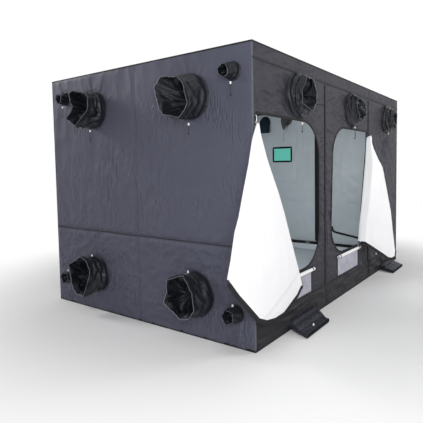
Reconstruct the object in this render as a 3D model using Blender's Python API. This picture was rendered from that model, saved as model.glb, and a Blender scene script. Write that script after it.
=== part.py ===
"""Indoor grow tent: a steel tube frame under a cloth skin, with two zipped doors folded open.

Metres, +Z up. The origin is the centre of the tent's footprint on the ground; the doors face -Y.
"""

import math

import bmesh
import bpy
from mathutils import Matrix, Vector

# Whole tent: three bays across and two deep
bay_length = 1.2
tent_height = 2.2
bays_across = 3
bays_deep = 2
tent_length = bay_length * bays_across
tent_depth = bay_length * bays_deep

# Cloth and clearances
cloth = 0.002
gap = 0.0003
cut_overrun = 0.02
line_tolerance = 0.000001

# Steel tubes and the plastic connectors that they slide over
tube_radius = 0.0125
tube_wall = 0.0013
tube_sides = 10
hub_size = 0.033
spigot_length = 0.05
spigot_wall_gap = 0.0003

# Hanging bars, which hook over the front and back top rails
hook_wall = 0.003
hook_width = 0.03
hanging_bar_radius = 0.009
hanging_bar_place = 1.80

# Doors, measured in their bay from the sewn side
door_hinge_side = 0.05
door_free_side = 1.06
door_bottom = 0.46
door_below_top = 0.50
door_top = tent_height - door_below_top
door_corner_radius = 0.30
zip_gap = 0.008
corner_steps = 8

# How the open doors are folded: the fold runs from the top of the sewn side to the sill
left_fold_drop = 0.062
left_fold_foot = 0.484
left_tip_height = 1.29
left_open_angle = math.radians(180.0)
left_fold_radius = 0.024
right_fold_drop = 0.0
right_fold_foot = 0.273
right_tip_height = 1.0
right_open_angle = math.radians(165.0)
right_fold_radius = 0.050
tip_fold_radius = 0.010
knuckle_lap = math.radians(8.0)
arc_step = math.radians(20.0)
apex_hole = 0.05
drape_depth = 0.012
drape_folds = 3
flap_rays = 12
flap_rings = 6
tip_rays = 8

# Zip sliders on the sill tape
slider_length = 0.022
slider_height = 0.011
slider_thickness = 0.006
pull_length = 0.034
pull_width = 0.009
pull_thickness = 0.0025
slider_drop = 0.003

# Vents under the doors, measured in the door's bay
vent_low = 0.33
vent_high = 0.905
vent_bottom = 0.22
vent_top = 0.405
vent_roll_radius = 0.017
vent_roll_margin = 0.015
roll_sides = 14

# Duct sleeves
large_sleeve_radius = 0.18
small_sleeve_radius = 0.062
sleeve_seat = 0.004
sleeve_collar = 0.008
large_sleeve_length = 0.19
small_sleeve_length = 0.10
front_sleeve_length = 0.11
sleeve_droop = 0.025
front_sleeve_droop = 0.003
mouth_share = 0.93
front_mouth_share = 0.75
pleat_depth = 0.006
large_pleats = 9
small_pleats = 6
large_sleeve_points = 27
small_sleeve_points = 18
sleeve_rings = 3
hole_points = 32

# Duct port places on the left wall, along it from the front and up; the top ones hang from the top edge
large_port_front = 0.55
large_port_back = 1.73
small_port_front = 0.163
small_port_back = 2.175
large_port_below_top = 0.334
large_port_top = tent_height - large_port_below_top
large_port_low = 0.345
small_port_below_top = 0.191
small_port_top = tent_height - small_port_below_top
small_port_low = 0.26

# Duct port places on the front wall, along each bay and up
front_port_along = 0.67
front_port_below_top = 0.30
front_port_up = tent_height - front_port_below_top

# Ports on the right wall, whose sleeves hang inside; the large one is gathered shut
gathered_port_along = 1.735
gathered_port_below_top = 0.18
gathered_port_up = tent_height - gathered_port_below_top
gathered_port_radius = 0.125
gathered_reach = 0.09
gathered_drop = 0.13
gathered_end_radius = 0.0095
open_port_along = 2.13
open_port_below_top = 0.17
open_port_up = tent_height - open_port_below_top
open_port_radius = 0.078
open_sleeve_reach = 0.088
open_sleeve_drop = 0.15

# Flat cable sleeves at the foot of the front wall
foot_sleeve_width = 0.48
foot_mouth_width = 0.435
foot_mouth_shift = 0.105
foot_sleeve_height = 0.08
foot_mouth_height = 0.030
foot_sleeve_length = 0.19
foot_sleeve_lift = 0.010
foot_sleeve_places = (0.74, 3.09)
foot_sleeve_points = 20

# Observation window in the right wall
window_port_space = 0.297
window_height = 0.196
window_front = 1.675
window_back = 2.028
window_high = gathered_port_up - gathered_port_radius - window_port_space
window_low = window_high - window_height
window_border = 0.028
window_border_thickness = 0.002
window_cover_margin = 0.03

# Spill tray
tray_margin = 0.045
tray_height = 0.145

# Barrel locks on the sleeves' drawcords, and the free ends of the cords
cord_diameter = 0.0035
lock_radius = 0.009
lock_length = 0.026
lock_sides = 10
lock_seat = 0.0012
lock_out_share = 0.45
lock_turn = math.radians(13.0)
front_lock_out_share = 0.30
foot_lock_shift = 0.10
foot_lock_out = 0.114
tail_length = 0.085
front_tail_length = 0.095
inner_tail_length = 0.14
tail_sway = 0.008
tail_spread = 0.010
tail_gap = 0.0004
tail_spacing_diameters = 3.0

half_length = tent_length / 2
half_depth = tent_depth / 2
wall_top = tent_height - cloth - gap
frame_inset = cloth + gap + hub_size / 2
rail_low = cloth + gap + hub_size / 2
rail_high = tent_height - cloth - gap - hub_size / 2


def clear_scene():
    for item in list(bpy.data.objects):
        bpy.data.objects.remove(item, do_unlink=True)


def principled(name, colour, roughness, metallic=0.0, alpha=1.0):
    material = bpy.data.materials.new(name)
    material.use_nodes = True
    shader = material.node_tree.nodes["Principled BSDF"]
    shader.inputs["Base Color"].default_value = (*colour, 1.0)
    shader.inputs["Roughness"].default_value = roughness
    shader.inputs["Metallic"].default_value = metallic
    shader.inputs["Alpha"].default_value = alpha
    return material


def add_object(name, mesh_builder, material, smooth=False):
    """Turn a bmesh into an object, with its faces pointing out."""
    bmesh.ops.recalc_face_normals(mesh_builder, faces=mesh_builder.faces)
    mesh = bpy.data.meshes.new(name)
    mesh_builder.to_mesh(mesh)
    mesh_builder.free()
    if smooth:
        mesh.shade_smooth()
        mesh.set_sharp_from_angle(angle=math.radians(40.0))
    item = bpy.data.objects.new(name, mesh)
    mesh.materials.append(material)
    bpy.context.scene.collection.objects.link(item)
    return item


def set_origin(item, point):
    """Move an object's origin to a point, and leave its shape where it is."""
    item.data.transform(Matrix.Translation(-Vector(point)))
    item.location = point


def on_wall(wall, along, out, up):
    """World point from a place on a wall: along it, out from its outer face, and up."""
    if wall == "front":
        return Vector((along - half_length, -half_depth - out, up))
    if wall == "back":
        return Vector((along - half_length, half_depth + out, up))
    if wall == "left":
        return Vector((-half_length - out, along - half_depth, up))
    return Vector((half_length + out, along - half_depth, up))


def add_prism(mesh_builder, bottom, top):
    """Closed solid between two matching loops of points."""
    low = [mesh_builder.verts.new(point) for point in bottom]
    high = [mesh_builder.verts.new(point) for point in top]
    mesh_builder.faces.new(low)
    mesh_builder.faces.new(list(reversed(high)))
    count = len(low)
    for i in range(count):
        j = (i + 1) % count
        mesh_builder.faces.new((low[j], low[i], high[i], high[j]))


def add_box(mesh_builder, low, high):
    bottom = [(low[0], low[1]), (high[0], low[1]), (high[0], high[1]), (low[0], high[1])]
    add_prism(mesh_builder, [(x, y, low[2]) for x, y in bottom], [(x, y, high[2]) for x, y in bottom])


def add_wall_prism(mesh_builder, wall, outline, out_low, out_high):
    """Extrude an outline of (along, up) points between two distances out from a wall's face."""
    add_prism(
        mesh_builder,
        [on_wall(wall, along, out_low, up) for along, up in outline],
        [on_wall(wall, along, out_high, up) for along, up in outline],
    )


def rectangle(along_low, along_high, up_low, up_high):
    return [(along_low, up_low), (along_high, up_low), (along_high, up_high), (along_low, up_high)]


def circle(along, up, radius, count):
    turn = 2 * math.pi / count
    return [(along + radius * math.cos(i * turn), up + radius * math.sin(i * turn)) for i in range(count)]


def door_outline(hinge, free, bottom, top, radius):
    """A door that is square at its sewn side and round at its two free corners."""
    side = math.copysign(1.0, free - hinge)
    centre = free - side * radius
    outline = [(hinge, top)]
    for i in range(corner_steps + 1):
        angle = math.pi / 2 * (1 - i / corner_steps)
        outline.append((centre + side * radius * math.cos(angle), top - radius + radius * math.sin(angle)))
    for i in range(corner_steps + 1):
        angle = -math.pi / 2 * i / corner_steps
        outline.append((centre + side * radius * math.cos(angle), bottom + radius + radius * math.sin(angle)))
    outline.append((hinge, bottom))
    return outline


def stadium(along, up, width, height, count):
    """Flat oval: a slot with round ends."""
    radius = height / 2
    half = width / 2 - radius
    points = []
    for i in range(count):
        angle = 2 * math.pi * (i + 0.5) / count
        shift = half if math.cos(angle) > 0 else -half
        points.append((along + shift + radius * math.cos(angle), up + radius * math.sin(angle)))
    return points


def cut_through(item, wall, outlines):
    """Cut openings through a wall panel with one cutter."""
    builder = bmesh.new()
    for outline in outlines:
        add_wall_prism(builder, wall, outline, -cloth - cut_overrun, cut_overrun)
    cutter = add_object(item.name + "_cutter", builder, item.data.materials[0])
    cutter.hide_render = True
    cutter.display_type = "WIRE"
    modifier = item.modifiers.new("openings", "BOOLEAN")
    modifier.operation = "DIFFERENCE"
    modifier.solver = "EXACT"
    modifier.object = cutter


def thicken(item, thickness):
    """Give a single sheet its thickness, half to each side."""
    modifier = item.modifiers.new("thickness", "SOLIDIFY")
    modifier.thickness = thickness
    modifier.offset = 0.0
    modifier.use_even_offset = True


def add_tube(mesh_builder, start, end, outer, inner, sides):
    """Hollow tube with flat ends."""
    start = Vector(start)
    axis = Vector(end) - start
    turn = axis.to_track_quat("Z", "Y").to_matrix()
    rings = []
    for place in (0.0, 1.0):
        for radius in (outer, inner):
            ring = []
            for i in range(sides):
                angle = 2 * math.pi * i / sides
                offset = turn @ Vector((radius * math.cos(angle), radius * math.sin(angle), 0.0))
                ring.append(mesh_builder.verts.new(start + axis * place + offset))
            rings.append(ring)
    outer_start, inner_start, outer_end, inner_end = rings
    for i in range(sides):
        j = (i + 1) % sides
        mesh_builder.faces.new((outer_start[i], outer_start[j], outer_end[j], outer_end[i]))
        mesh_builder.faces.new((inner_start[j], inner_start[i], inner_end[i], inner_end[j]))
        mesh_builder.faces.new((outer_start[j], outer_start[i], inner_start[i], inner_start[j]))
        mesh_builder.faces.new((outer_end[i], outer_end[j], inner_end[j], inner_end[i]))


def add_rod(mesh_builder, start, end, radius, sides):
    """Solid round bar with flat ends."""
    start = Vector(start)
    end = Vector(end)
    turn = (end - start).to_track_quat("Z", "Y").to_matrix()
    ring = [
        turn @ Vector((radius * math.cos(2 * math.pi * i / sides), radius * math.sin(2 * math.pi * i / sides), 0.0))
        for i in range(sides)
    ]
    add_prism(mesh_builder, [start + p for p in ring], [end + p for p in ring])


def frame_point(along, across, up):
    """World point on the frame from distances along the front and back from the front corner."""
    return Vector((along - half_length, across - half_depth, up))


def frame_lines():
    """Distances of the tube axes from the front left corner of the skin."""
    alongs = [frame_inset] + [bay_length * i for i in range(1, bays_across)] + [tent_length - frame_inset]
    acrosses = [frame_inset] + [bay_length * i for i in range(1, bays_deep)] + [tent_depth - frame_inset]
    return alongs, acrosses


def ring_points(centre, axis, radius):
    """Points of a tube's ring round a centre, in the same order for both directions along one line."""
    line = Vector([abs(value) for value in axis])
    turn = line.to_track_quat("Z", "Y").to_matrix()
    step = 2 * math.pi / tube_sides
    angles = [step * i for i in range(tube_sides)]
    return [centre + turn @ Vector((radius * math.cos(a), radius * math.sin(a), 0.0)) for a in angles]


def fill_between(mesh_builder, square, ring):
    """Faces from a hub's square face to the ring of a tube that leaves it."""

    def nearest(first, second):
        middle = (first.co + second.co) / 2
        return min(square, key=lambda corner: (corner.co - middle).length)

    count = len(ring)
    owners = [nearest(ring[i], ring[(i + 1) % count]) for i in range(count)]
    for i, owner in enumerate(owners):
        j = (i + 1) % count
        mesh_builder.faces.new((ring[i], ring[j], owner))
        if owners[j] != owner:
            mesh_builder.faces.new((ring[j], owners[j], owner))


def add_hub(mesh_builder, centre, sockets):
    """A cube whose listed faces each open into a ring of points; returns the rings."""
    half = hub_size / 2
    corners = {}
    for x in (-1, 1):
        for y in (-1, 1):
            for z in (-1, 1):
                corners[x, y, z] = mesh_builder.verts.new(centre + Vector((x, y, z)) * half)
    rings = {}
    for axis in range(3):
        for side in (-1, 1):
            first, second = (i for i in range(3) if i != axis)
            square = []
            for u, v in ((-1, -1), (1, -1), (1, 1), (-1, 1)):
                place = [0, 0, 0]
                place[axis] = side
                place[first] = u
                place[second] = v
                square.append(corners[tuple(place)])
            way = [0, 0, 0]
            way[axis] = side
            radius = sockets.get(tuple(way))
            if radius is None:
                mesh_builder.faces.new(square)
                continue
            points = ring_points(centre + Vector(way) * half, way, radius)
            ring = [mesh_builder.verts.new(point) for point in points]
            fill_between(mesh_builder, square, ring)
            rings[tuple(way)] = ring
    return rings


def join_rings(mesh_builder, first, second):
    for i in range(len(first)):
        j = (i + 1) % len(first)
        mesh_builder.faces.new((first[i], first[j], second[j], second[i]))


def make_rail_frame(name, up, spigot_way, with_roof_bars, material):
    """A level ring of rails with a hub at each joint, and spigots that the uprights slide over."""
    builder = bmesh.new()
    spigot_radius = tube_radius - tube_wall - spigot_wall_gap
    alongs, acrosses = frame_lines()
    last_along = len(alongs) - 1
    last_across = len(acrosses) - 1
    hubs = {}
    for i, along in enumerate(alongs):
        for j, across in enumerate(acrosses):
            at_end = i in (0, last_along)
            at_side = j in (0, last_across)
            if not (at_end or at_side):
                continue
            sockets = {(0, 0, spigot_way): spigot_radius}
            if at_side and i < last_along:
                sockets[1, 0, 0] = tube_radius
            if at_side and i > 0:
                sockets[-1, 0, 0] = tube_radius
            if (at_end and j < last_across) or (with_roof_bars and not at_end and j == 0):
                sockets[0, 1, 0] = tube_radius
            if (at_end and j > 0) or (with_roof_bars and not at_end and j == last_across):
                sockets[0, -1, 0] = tube_radius
            centre = frame_point(along, across, up)
            rings = add_hub(builder, centre, sockets)
            hubs[i, j] = rings
            spigot = rings.pop((0, 0, spigot_way))
            tip = centre + Vector((0, 0, spigot_way)) * (hub_size / 2 + spigot_length)
            end = [builder.verts.new(point) for point in ring_points(tip, (0, 0, 1), spigot_radius)]
            join_rings(builder, spigot, end)
            builder.faces.new(end)
    for (i, j), rings in hubs.items():
        if (1, 0, 0) in rings:
            join_rings(builder, rings[1, 0, 0], hubs[i + 1, j][-1, 0, 0])
        if (0, 1, 0) in rings:
            beyond = j + 1 if i in (0, last_along) else last_across
            join_rings(builder, rings[0, 1, 0], hubs[i, beyond][0, -1, 0])
    add_object(name, builder, material, smooth=True)


def make_poles(material):
    """Uprights: hollow tubes over the spigots, with a gap left to each hub."""
    alongs, acrosses = frame_lines()
    last_along = len(alongs) - 1
    last_across = len(acrosses) - 1
    trim = Vector((0, 0, hub_size / 2 + gap))
    for i, along in enumerate(alongs):
        for j, across in enumerate(acrosses):
            if i not in (0, last_along) and j not in (0, last_across):
                continue
            row = ("front", "side", "back")[j]
            builder = bmesh.new()
            low = frame_point(along, across, rail_low) + trim
            high = frame_point(along, across, rail_high) - trim
            add_tube(builder, low, high, tube_radius, tube_radius - tube_wall, tube_sides)
            add_object(f"pole_{row}_{i + 1}", builder, material, smooth=True)


def make_hanging_bar(name, along, material):
    """A bar from front to back whose ends hook over the top rails."""
    builder = bmesh.new()
    alongs, acrosses = frame_lines()
    inner = tube_radius + gap
    outer = inner + hook_wall
    steps = tube_sides
    front = frame_point(along, acrosses[0], rail_high)
    back = frame_point(along, acrosses[-1], rail_high)
    for centre, inward in ((front, 1.0), (back, -1.0)):
        outline = []
        for radius, order in ((outer, range(steps + 1)), (inner, range(steps, -1, -1))):
            for i in order:
                angle = math.pi * i / steps
                outline.append((inward * radius * math.cos(angle), radius * math.sin(angle)))
        low = [centre + Vector((-hook_width / 2, y, z)) for y, z in outline]
        high = [centre + Vector((hook_width / 2, y, z)) for y, z in outline]
        add_prism(builder, low, high)
    bar = add_object(name, builder, material)
    rod_builder = bmesh.new()
    lift = Vector((0, 0, inner * math.sin(math.pi / 4) - hanging_bar_radius))
    reach = Vector((0, inner + hook_wall / 2, 0))
    add_rod(rod_builder, front + reach + lift, back - reach + lift, hanging_bar_radius, tube_sides)
    rod = add_object(name + "_rod_shape", rod_builder, material)
    rod.hide_render = True
    rod.display_type = "WIRE"
    union = bar.modifiers.new("rod", "BOOLEAN")
    union.operation = "UNION"
    union.solver = "EXACT"
    union.object = rod
    set_origin(bar, (along - half_length, 0.0, rail_high))


def door_side(bay, along, mirrored):
    """A distance measured from the door's sewn side of its bay, as a distance along the front."""
    start = bay * bay_length
    return start + bay_length - along if mirrored else start + along


def make_front_panels(material):
    """Three sewn panels, two with a doorway and a vent, all with a duct port."""
    names = ("front_panel_left", "front_panel_middle", "front_panel_right")
    for bay, name in enumerate(names):
        mirrored = bay == 1
        low = bay * bay_length + (gap / 2 if bay else 0.0)
        high = (bay + 1) * bay_length - (gap / 2 if bay < bays_across - 1 else 0.0)
        builder = bmesh.new()
        add_wall_prism(builder, "front", rectangle(low, high, 0.0, wall_top), -cloth, 0.0)
        panel = add_object(name, builder, material)
        port = circle(
            bay * bay_length + front_port_along, front_port_up, large_sleeve_radius - sleeve_seat, hole_points
        )
        openings = [port]
        if bay < 2:
            hinge = door_side(bay, door_hinge_side, mirrored)
            free = door_side(bay, door_free_side, mirrored)
            openings.append(door_outline(hinge, free, door_bottom, door_top, door_corner_radius))
            ends = sorted((door_side(bay, vent_low, mirrored), door_side(bay, vent_high, mirrored)))
            openings.append(rectangle(ends[0], ends[1], vent_bottom, vent_top))
        for place in foot_sleeve_places:
            if low < place < high:
                openings.append(foot_slot(place, sleeve_seat))
        cut_through(panel, "front", openings)


def foot_slot(place, seat):
    """The slot in the wall behind a foot sleeve, or its outline at the wall with no seat."""
    up = foot_sleeve_lift + foot_sleeve_height / 2
    return stadium(place, up, foot_sleeve_width - 2 * seat, foot_sleeve_height - 2 * seat, foot_sleeve_points)


def make_left_walls(material):
    """Two sewn panels with two large and two small duct ports each."""
    halves = (
        ("left_wall_front", cloth + gap, bay_length - gap / 2, large_port_front, small_port_front),
        ("left_wall_back", bay_length + gap / 2, tent_depth - cloth - gap, large_port_back, small_port_back),
    )
    for name, low, high, large, small in halves:
        builder = bmesh.new()
        add_wall_prism(builder, "left", rectangle(low, high, 0.0, wall_top), -cloth, 0.0)
        panel = add_object(name, builder, material)
        large_hole = large_sleeve_radius - sleeve_seat
        small_hole = small_sleeve_radius - sleeve_seat
        cut_through(
            panel,
            "left",
            [
                circle(large, large_port_top, large_hole, hole_points),
                circle(large, large_port_low, large_hole, hole_points),
                circle(small, small_port_top, small_hole, small_sleeve_points),
                circle(small, small_port_low, small_hole, small_sleeve_points),
            ],
        )


def make_plain_skin(material):
    """Right wall, back wall, roof and ground sheet."""
    inside = cloth + gap
    builder = bmesh.new()
    outline = rectangle(inside, tent_depth - inside, 0.0, wall_top)
    add_wall_prism(builder, "right", outline, -cloth, 0.0)
    right = add_object("right_wall", builder, material)
    gathered_hole = gathered_port_radius - sleeve_seat
    open_hole = open_port_radius - sleeve_seat
    cut_through(
        right,
        "right",
        [
            rectangle(window_front, window_back, window_low, window_high),
            circle(gathered_port_along, gathered_port_up, gathered_hole, small_sleeve_points),
            circle(open_port_along, open_port_up, open_hole, small_sleeve_points),
        ],
    )
    builder = bmesh.new()
    add_wall_prism(builder, "back", rectangle(0.0, tent_length, 0.0, wall_top), -cloth, 0.0)
    add_object("back_wall", builder, material)
    builder = bmesh.new()
    corner = Vector((half_length, half_depth, tent_height))
    add_box(builder, (-corner.x, -corner.y, corner.z - cloth), corner)
    add_object("roof_panel", builder, material)
    builder = bmesh.new()
    reach = Vector((half_length - inside, half_depth - inside, cloth))
    add_box(builder, (-reach.x, -reach.y, 0.0), reach)
    add_object("ground_sheet", builder, material)


def make_spill_tray(material):
    """Open waterproof tray that lies on the ground sheet inside the frame."""
    outer = Vector((half_length - tray_margin, half_depth - tray_margin))
    builder = bmesh.new()
    bottom = cloth + gap
    add_box(builder, (-outer.x, -outer.y, bottom), (outer.x, outer.y, bottom + tray_height))
    tray = add_object("spill_tray", builder, material)
    cutter_builder = bmesh.new()
    add_box(
        cutter_builder,
        (-outer.x + cloth, -outer.y + cloth, bottom + cloth),
        (outer.x - cloth, outer.y - cloth, bottom + tray_height + cut_overrun),
    )
    cutter = add_object("spill_tray_cutter", cutter_builder, material)
    cutter.hide_render = True
    cutter.display_type = "WIRE"
    hollow = tray.modifiers.new("hollow", "BOOLEAN")
    hollow.operation = "DIFFERENCE"
    hollow.solver = "EXACT"
    hollow.object = cutter


class DoorFold:
    """The geometry of one folded door, in its wall's plane and in space.

    Points of the closed door are (along, up). The door folds along a line from its sewn side to the
    sill, and its top corner folds behind along a second line, from the top of the sewn side to the
    free side.
    """

    def __init__(self, bay, mirrored, drop, fold_foot, tip_height, open_angle, fold_radius):
        self.side = -1.0 if mirrored else 1.0
        self.hinge = door_side(bay, door_hinge_side + gap, mirrored)
        self.free = door_side(bay, door_free_side - zip_gap, mirrored)
        self.bottom = door_bottom + zip_gap
        self.top = door_top - zip_gap
        self.radius = door_corner_radius - zip_gap
        self.open_angle = open_angle
        self.fold_radius = fold_radius
        self.corner = Vector((self.hinge, self.top))
        self.apex = Vector((self.hinge, self.top - drop))
        self.foot = Vector((self.hinge + self.side * fold_foot, self.bottom))
        self.tip_end = Vector((self.free, tip_height))
        self.axis_out = fold_radius - cloth / 2
        self.flap_arc = fold_radius - cloth - gap
        self.tip_arc = tip_fold_radius - cloth - gap
        self.down = (self.foot - self.apex).normalized()
        self.across = Vector((-self.down.y, self.down.x)) * self.side
        self.leave = math.pi / 2 - (math.pi - open_angle)

    def outline(self):
        return door_outline(self.hinge, self.free, self.bottom, self.top, self.radius)

    def edge_point(self, start, angle):
        """Where a line from a point, at an angle below level, meets the door's free edge."""
        heading = Vector((self.side * math.cos(angle), -math.sin(angle)))
        points = [Vector(p) for p in self.outline()]
        best = 0.0
        for first, second in zip(points, points[1:]):
            edge = second - first
            cross = heading.x * edge.y - heading.y * edge.x
            if abs(cross) < line_tolerance:
                continue
            offset = first - start
            distance = (offset.x * edge.y - offset.y * edge.x) / cross
            share = (offset.x * heading.y - offset.y * heading.x) / cross
            if -line_tolerance <= share <= 1 + line_tolerance:
                best = max(best, distance)
        return start + heading * best

    def angle_of(self, start, point):
        heading = point - start
        return math.atan2(-heading.y, self.side * heading.x)

    def in_space(self, distance, across, out):
        """World point from a distance down the fold, a distance across it and one out from the wall."""
        place = self.apex + self.down * distance + self.across * across
        return on_wall("front", place.x, out, place.y)

    def round_fold(self, distance, angle, radius):
        """World point on the roll of the fold; the angle is from straight across, towards outside."""
        return self.in_space(distance, radius * math.cos(angle), self.axis_out + radius * math.sin(angle))

    def flap_point(self, place, lift=0.0):
        """World point of the folded-back part, from its place on the closed door."""
        offset = place - self.apex
        beyond = offset.dot(self.across)
        across = self.flap_arc * math.cos(self.leave) - beyond * math.sin(self.leave)
        out = self.axis_out + self.flap_arc * math.sin(self.leave) + beyond * math.cos(self.leave)
        across += lift * math.cos(self.leave)
        out += lift * math.sin(self.leave)
        return self.in_space(offset.dot(self.down), across, out)

    def tip_frame(self):
        """Start of the tip's fold, and unit vectors along it, outwards in the flap and off its lining."""
        line = (self.tip_end - self.corner).normalized()
        upward = Vector((-line.y, line.x)) * self.side
        start = self.flap_point(self.corner)
        along = (self.flap_point(self.corner + line) - start).normalized()
        outward = (self.flap_point(self.corner + upward) - start).normalized()
        lining = (self.flap_point(self.corner, self.fold_radius) - start).normalized()
        return start, along, outward, lining


def grid_faces(mesh_builder, columns):
    for first, second in zip(columns, columns[1:]):
        for i in range(len(first) - 1):
            mesh_builder.faces.new((first[i], second[i], second[i + 1], first[i + 1]))


def make_door(word, fold, material):
    """Standing panel, folded flap and its folded-under tip, as three sheets of cloth."""
    fold_length = (fold.foot - fold.apex).length
    rings = [apex_hole + (fold_length - apex_hole) * i / flap_rings for i in range(flap_rings + 1)]

    builder = bmesh.new()
    standing = [fold.foot, (fold.hinge, fold.bottom), fold.apex]
    add_wall_prism(builder, "front", standing, -cloth, 0.0)
    add_object(f"door_{word}_panel", builder, material)

    first_angle = fold.angle_of(fold.apex, fold.foot)
    last_angle = fold.angle_of(fold.apex, fold.tip_end)
    tip_line = fold.tip_end - fold.corner
    inner_first = fold.apex + fold.down * apex_hole
    inner_last = fold.corner + tip_line.normalized() * apex_hole
    builder = bmesh.new()
    columns = []
    start_angle = -math.pi / 2
    arc_count = math.ceil((fold.leave - start_angle) / arc_step)
    turns = [start_angle + (fold.leave - start_angle) * i / arc_count for i in range(arc_count)]
    for angle in [start_angle - knuckle_lap] + turns:
        columns.append([builder.verts.new(fold.round_fold(r, angle, fold.flap_arc)) for r in rings])
    for i in range(flap_rays + 1):
        share = i / flap_rays
        inner = inner_first.lerp(inner_last, share)
        outer = fold.edge_point(fold.apex, first_angle + (last_angle - first_angle) * share)
        column = []
        for k in range(flap_rings + 1):
            lift = drape_depth * (k / flap_rings) * math.sin(math.pi * drape_folds * share) ** 2
            column.append(builder.verts.new(fold.flap_point(inner.lerp(outer, k / flap_rings), lift)))
        columns.append(column)
    start, along, outward, lining = fold.tip_frame()
    centre = start - lining * tip_fold_radius
    reach = tip_line.length
    tip_rings = [apex_hole + (reach - apex_hole) * k / flap_rings for k in range(flap_rings + 1)]
    grid_faces(builder, columns)
    flap = add_object(f"door_{word}_flap", builder, material, smooth=True)
    thicken(flap, cloth)
    set_origin(flap, fold.round_fold(0.0, 0.0, 0.0))

    builder = bmesh.new()
    columns = []
    arc_count = math.ceil(math.pi / (2 * arc_step))
    turns = [math.pi * (0.5 - i / arc_count) for i in range(arc_count)]
    for angle in [math.pi / 2 + knuckle_lap] + turns:
        offset = (outward * math.cos(angle) + lining * math.sin(angle)) * fold.tip_arc
        columns.append([builder.verts.new(centre + along * distance + offset) for distance in tip_rings[1:]])
    behind = centre - lining * fold.tip_arc
    tip_angle = fold.angle_of(fold.corner, fold.tip_end)
    for i in range(tip_rays + 1):
        turn = tip_angle * i / tip_rays
        reach = (fold.edge_point(fold.corner, tip_angle - turn) - fold.corner).length
        heading = along * math.cos(turn) - outward * math.sin(turn)
        distances = [apex_hole + (reach - apex_hole) * k / flap_rings for k in range(1, flap_rings + 1)]
        columns.append([builder.verts.new(behind + heading * distance) for distance in distances])
    grid_faces(builder, columns)
    tip = add_object(f"door_{word}_tip", builder, material, smooth=True)
    thicken(tip, cloth)
    set_origin(tip, centre)


def make_slider(word, fold, material):
    """Zip slider parked on the sill at the foot of the fold, with its pull tab lying along the zip."""
    builder = bmesh.new()
    centre = fold.foot.x
    top = door_bottom - slider_drop
    half = slider_length / 2
    outline = rectangle(centre - half, centre + half, top - slider_height, top)
    add_wall_prism(builder, "front", outline, gap, gap + slider_thickness)
    slider = add_object(f"zip_slider_{word}", builder, material)
    pull_builder = bmesh.new()
    middle = top - slider_height / 2
    sign = fold.side
    ends = sorted((centre, centre + sign * (half + pull_length)))
    outline = rectangle(ends[0], ends[1], middle - pull_width / 2, middle + pull_width / 2)
    low = gap + slider_thickness - pull_thickness / 2
    add_wall_prism(pull_builder, "front", outline, low, low + pull_thickness)
    pull = add_object(f"zip_pull_{word}_shape", pull_builder, material)
    pull.hide_render = True
    pull.display_type = "WIRE"
    union = slider.modifiers.new("pull", "BOOLEAN")
    union.operation = "UNION"
    union.solver = "EXACT"
    union.object = pull
    set_origin(slider, on_wall("front", centre, 0.0, middle))


def make_vent(word, bay, mirrored, net_material, roll_material):
    """Net window below a door, and its cloth cover rolled up above it."""
    ends = sorted((door_side(bay, vent_low, mirrored), door_side(bay, vent_high, mirrored)))
    builder = bmesh.new()
    outline = rectangle(ends[0] + gap, ends[1] - gap, vent_bottom + gap, vent_top - gap)
    add_wall_prism(builder, "front", outline, -cloth, 0.0)
    add_object(f"vent_net_{word}", builder, net_material)
    builder = bmesh.new()
    up = vent_top + vent_roll_radius
    out = vent_roll_radius + gap
    add_rod(
        builder,
        on_wall("front", ends[0] - vent_roll_margin, out, up),
        on_wall("front", ends[1] + vent_roll_margin, out, up),
        vent_roll_radius,
        roll_sides,
    )
    add_object(f"vent_roll_{word}", builder, roll_material, smooth=True)


def sleeve_point(port, angle, step):
    """World point on a sleeve's middle surface, at an angle round it and a share of the way out."""
    size = port.radius * (1 + (port.mouth - 1) * step) + pleat_depth * step * math.cos(port.pleats * angle)
    up = port.up + port.rise * step * step + size * math.sin(angle)
    out = gap + sleeve_collar + (port.length - sleeve_collar) * step
    return on_wall(port.wall, port.along + size * math.cos(angle), out, up)


def fuse(item, other):
    """Join a hidden shape to an object as one body."""
    other.hide_render = True
    other.display_type = "WIRE"
    union = item.modifiers.new(other.name, "BOOLEAN")
    union.operation = "UNION"
    union.solver = "EXACT"
    union.object = other


def add_lock(item, start, end, material):
    """Fuse a barrel lock onto a sleeve, at its drawcord."""
    builder = bmesh.new()
    add_rod(builder, start, end, lock_radius, lock_sides)
    fuse(item, add_object(item.name + "_lock", builder, material))


def make_tail(name, start, length, sway, material):
    """Free end of a drawcord, hanging from its lock."""
    curve = bpy.data.curves.new(name, "CURVE")
    curve.dimensions = "3D"
    curve.bevel_depth = cord_diameter / 2
    curve.bevel_resolution = 2
    curve.use_fill_caps = True
    spline = curve.splines.new("POLY")
    count = math.ceil(length / (tail_spacing_diameters * cord_diameter))
    spline.points.add(count)
    for i in range(count + 1):
        step = i / count
        bend = math.sin(step * math.pi) * step
        point = Vector(start) + Vector((0.0, 0.0, -length)) * step + Vector(sway) * bend
        spline.points[i].co = (*point, 1.0)
    item = bpy.data.objects.new(name, curve)
    curve.materials.append(material)
    bpy.context.scene.collection.objects.link(item)


class Port:
    """A round port in a wall, with the size of the sleeve that stands out of it."""

    def __init__(self, name, wall, along, up, large, length, mouth, rise):
        self.name = name
        self.wall = wall
        self.along = along
        self.up = up
        self.radius = large_sleeve_radius if large else small_sleeve_radius
        self.pleats = large_pleats if large else small_pleats
        self.points = large_sleeve_points if large else small_sleeve_points
        self.length = length
        self.mouth = mouth
        self.rise = rise


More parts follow.
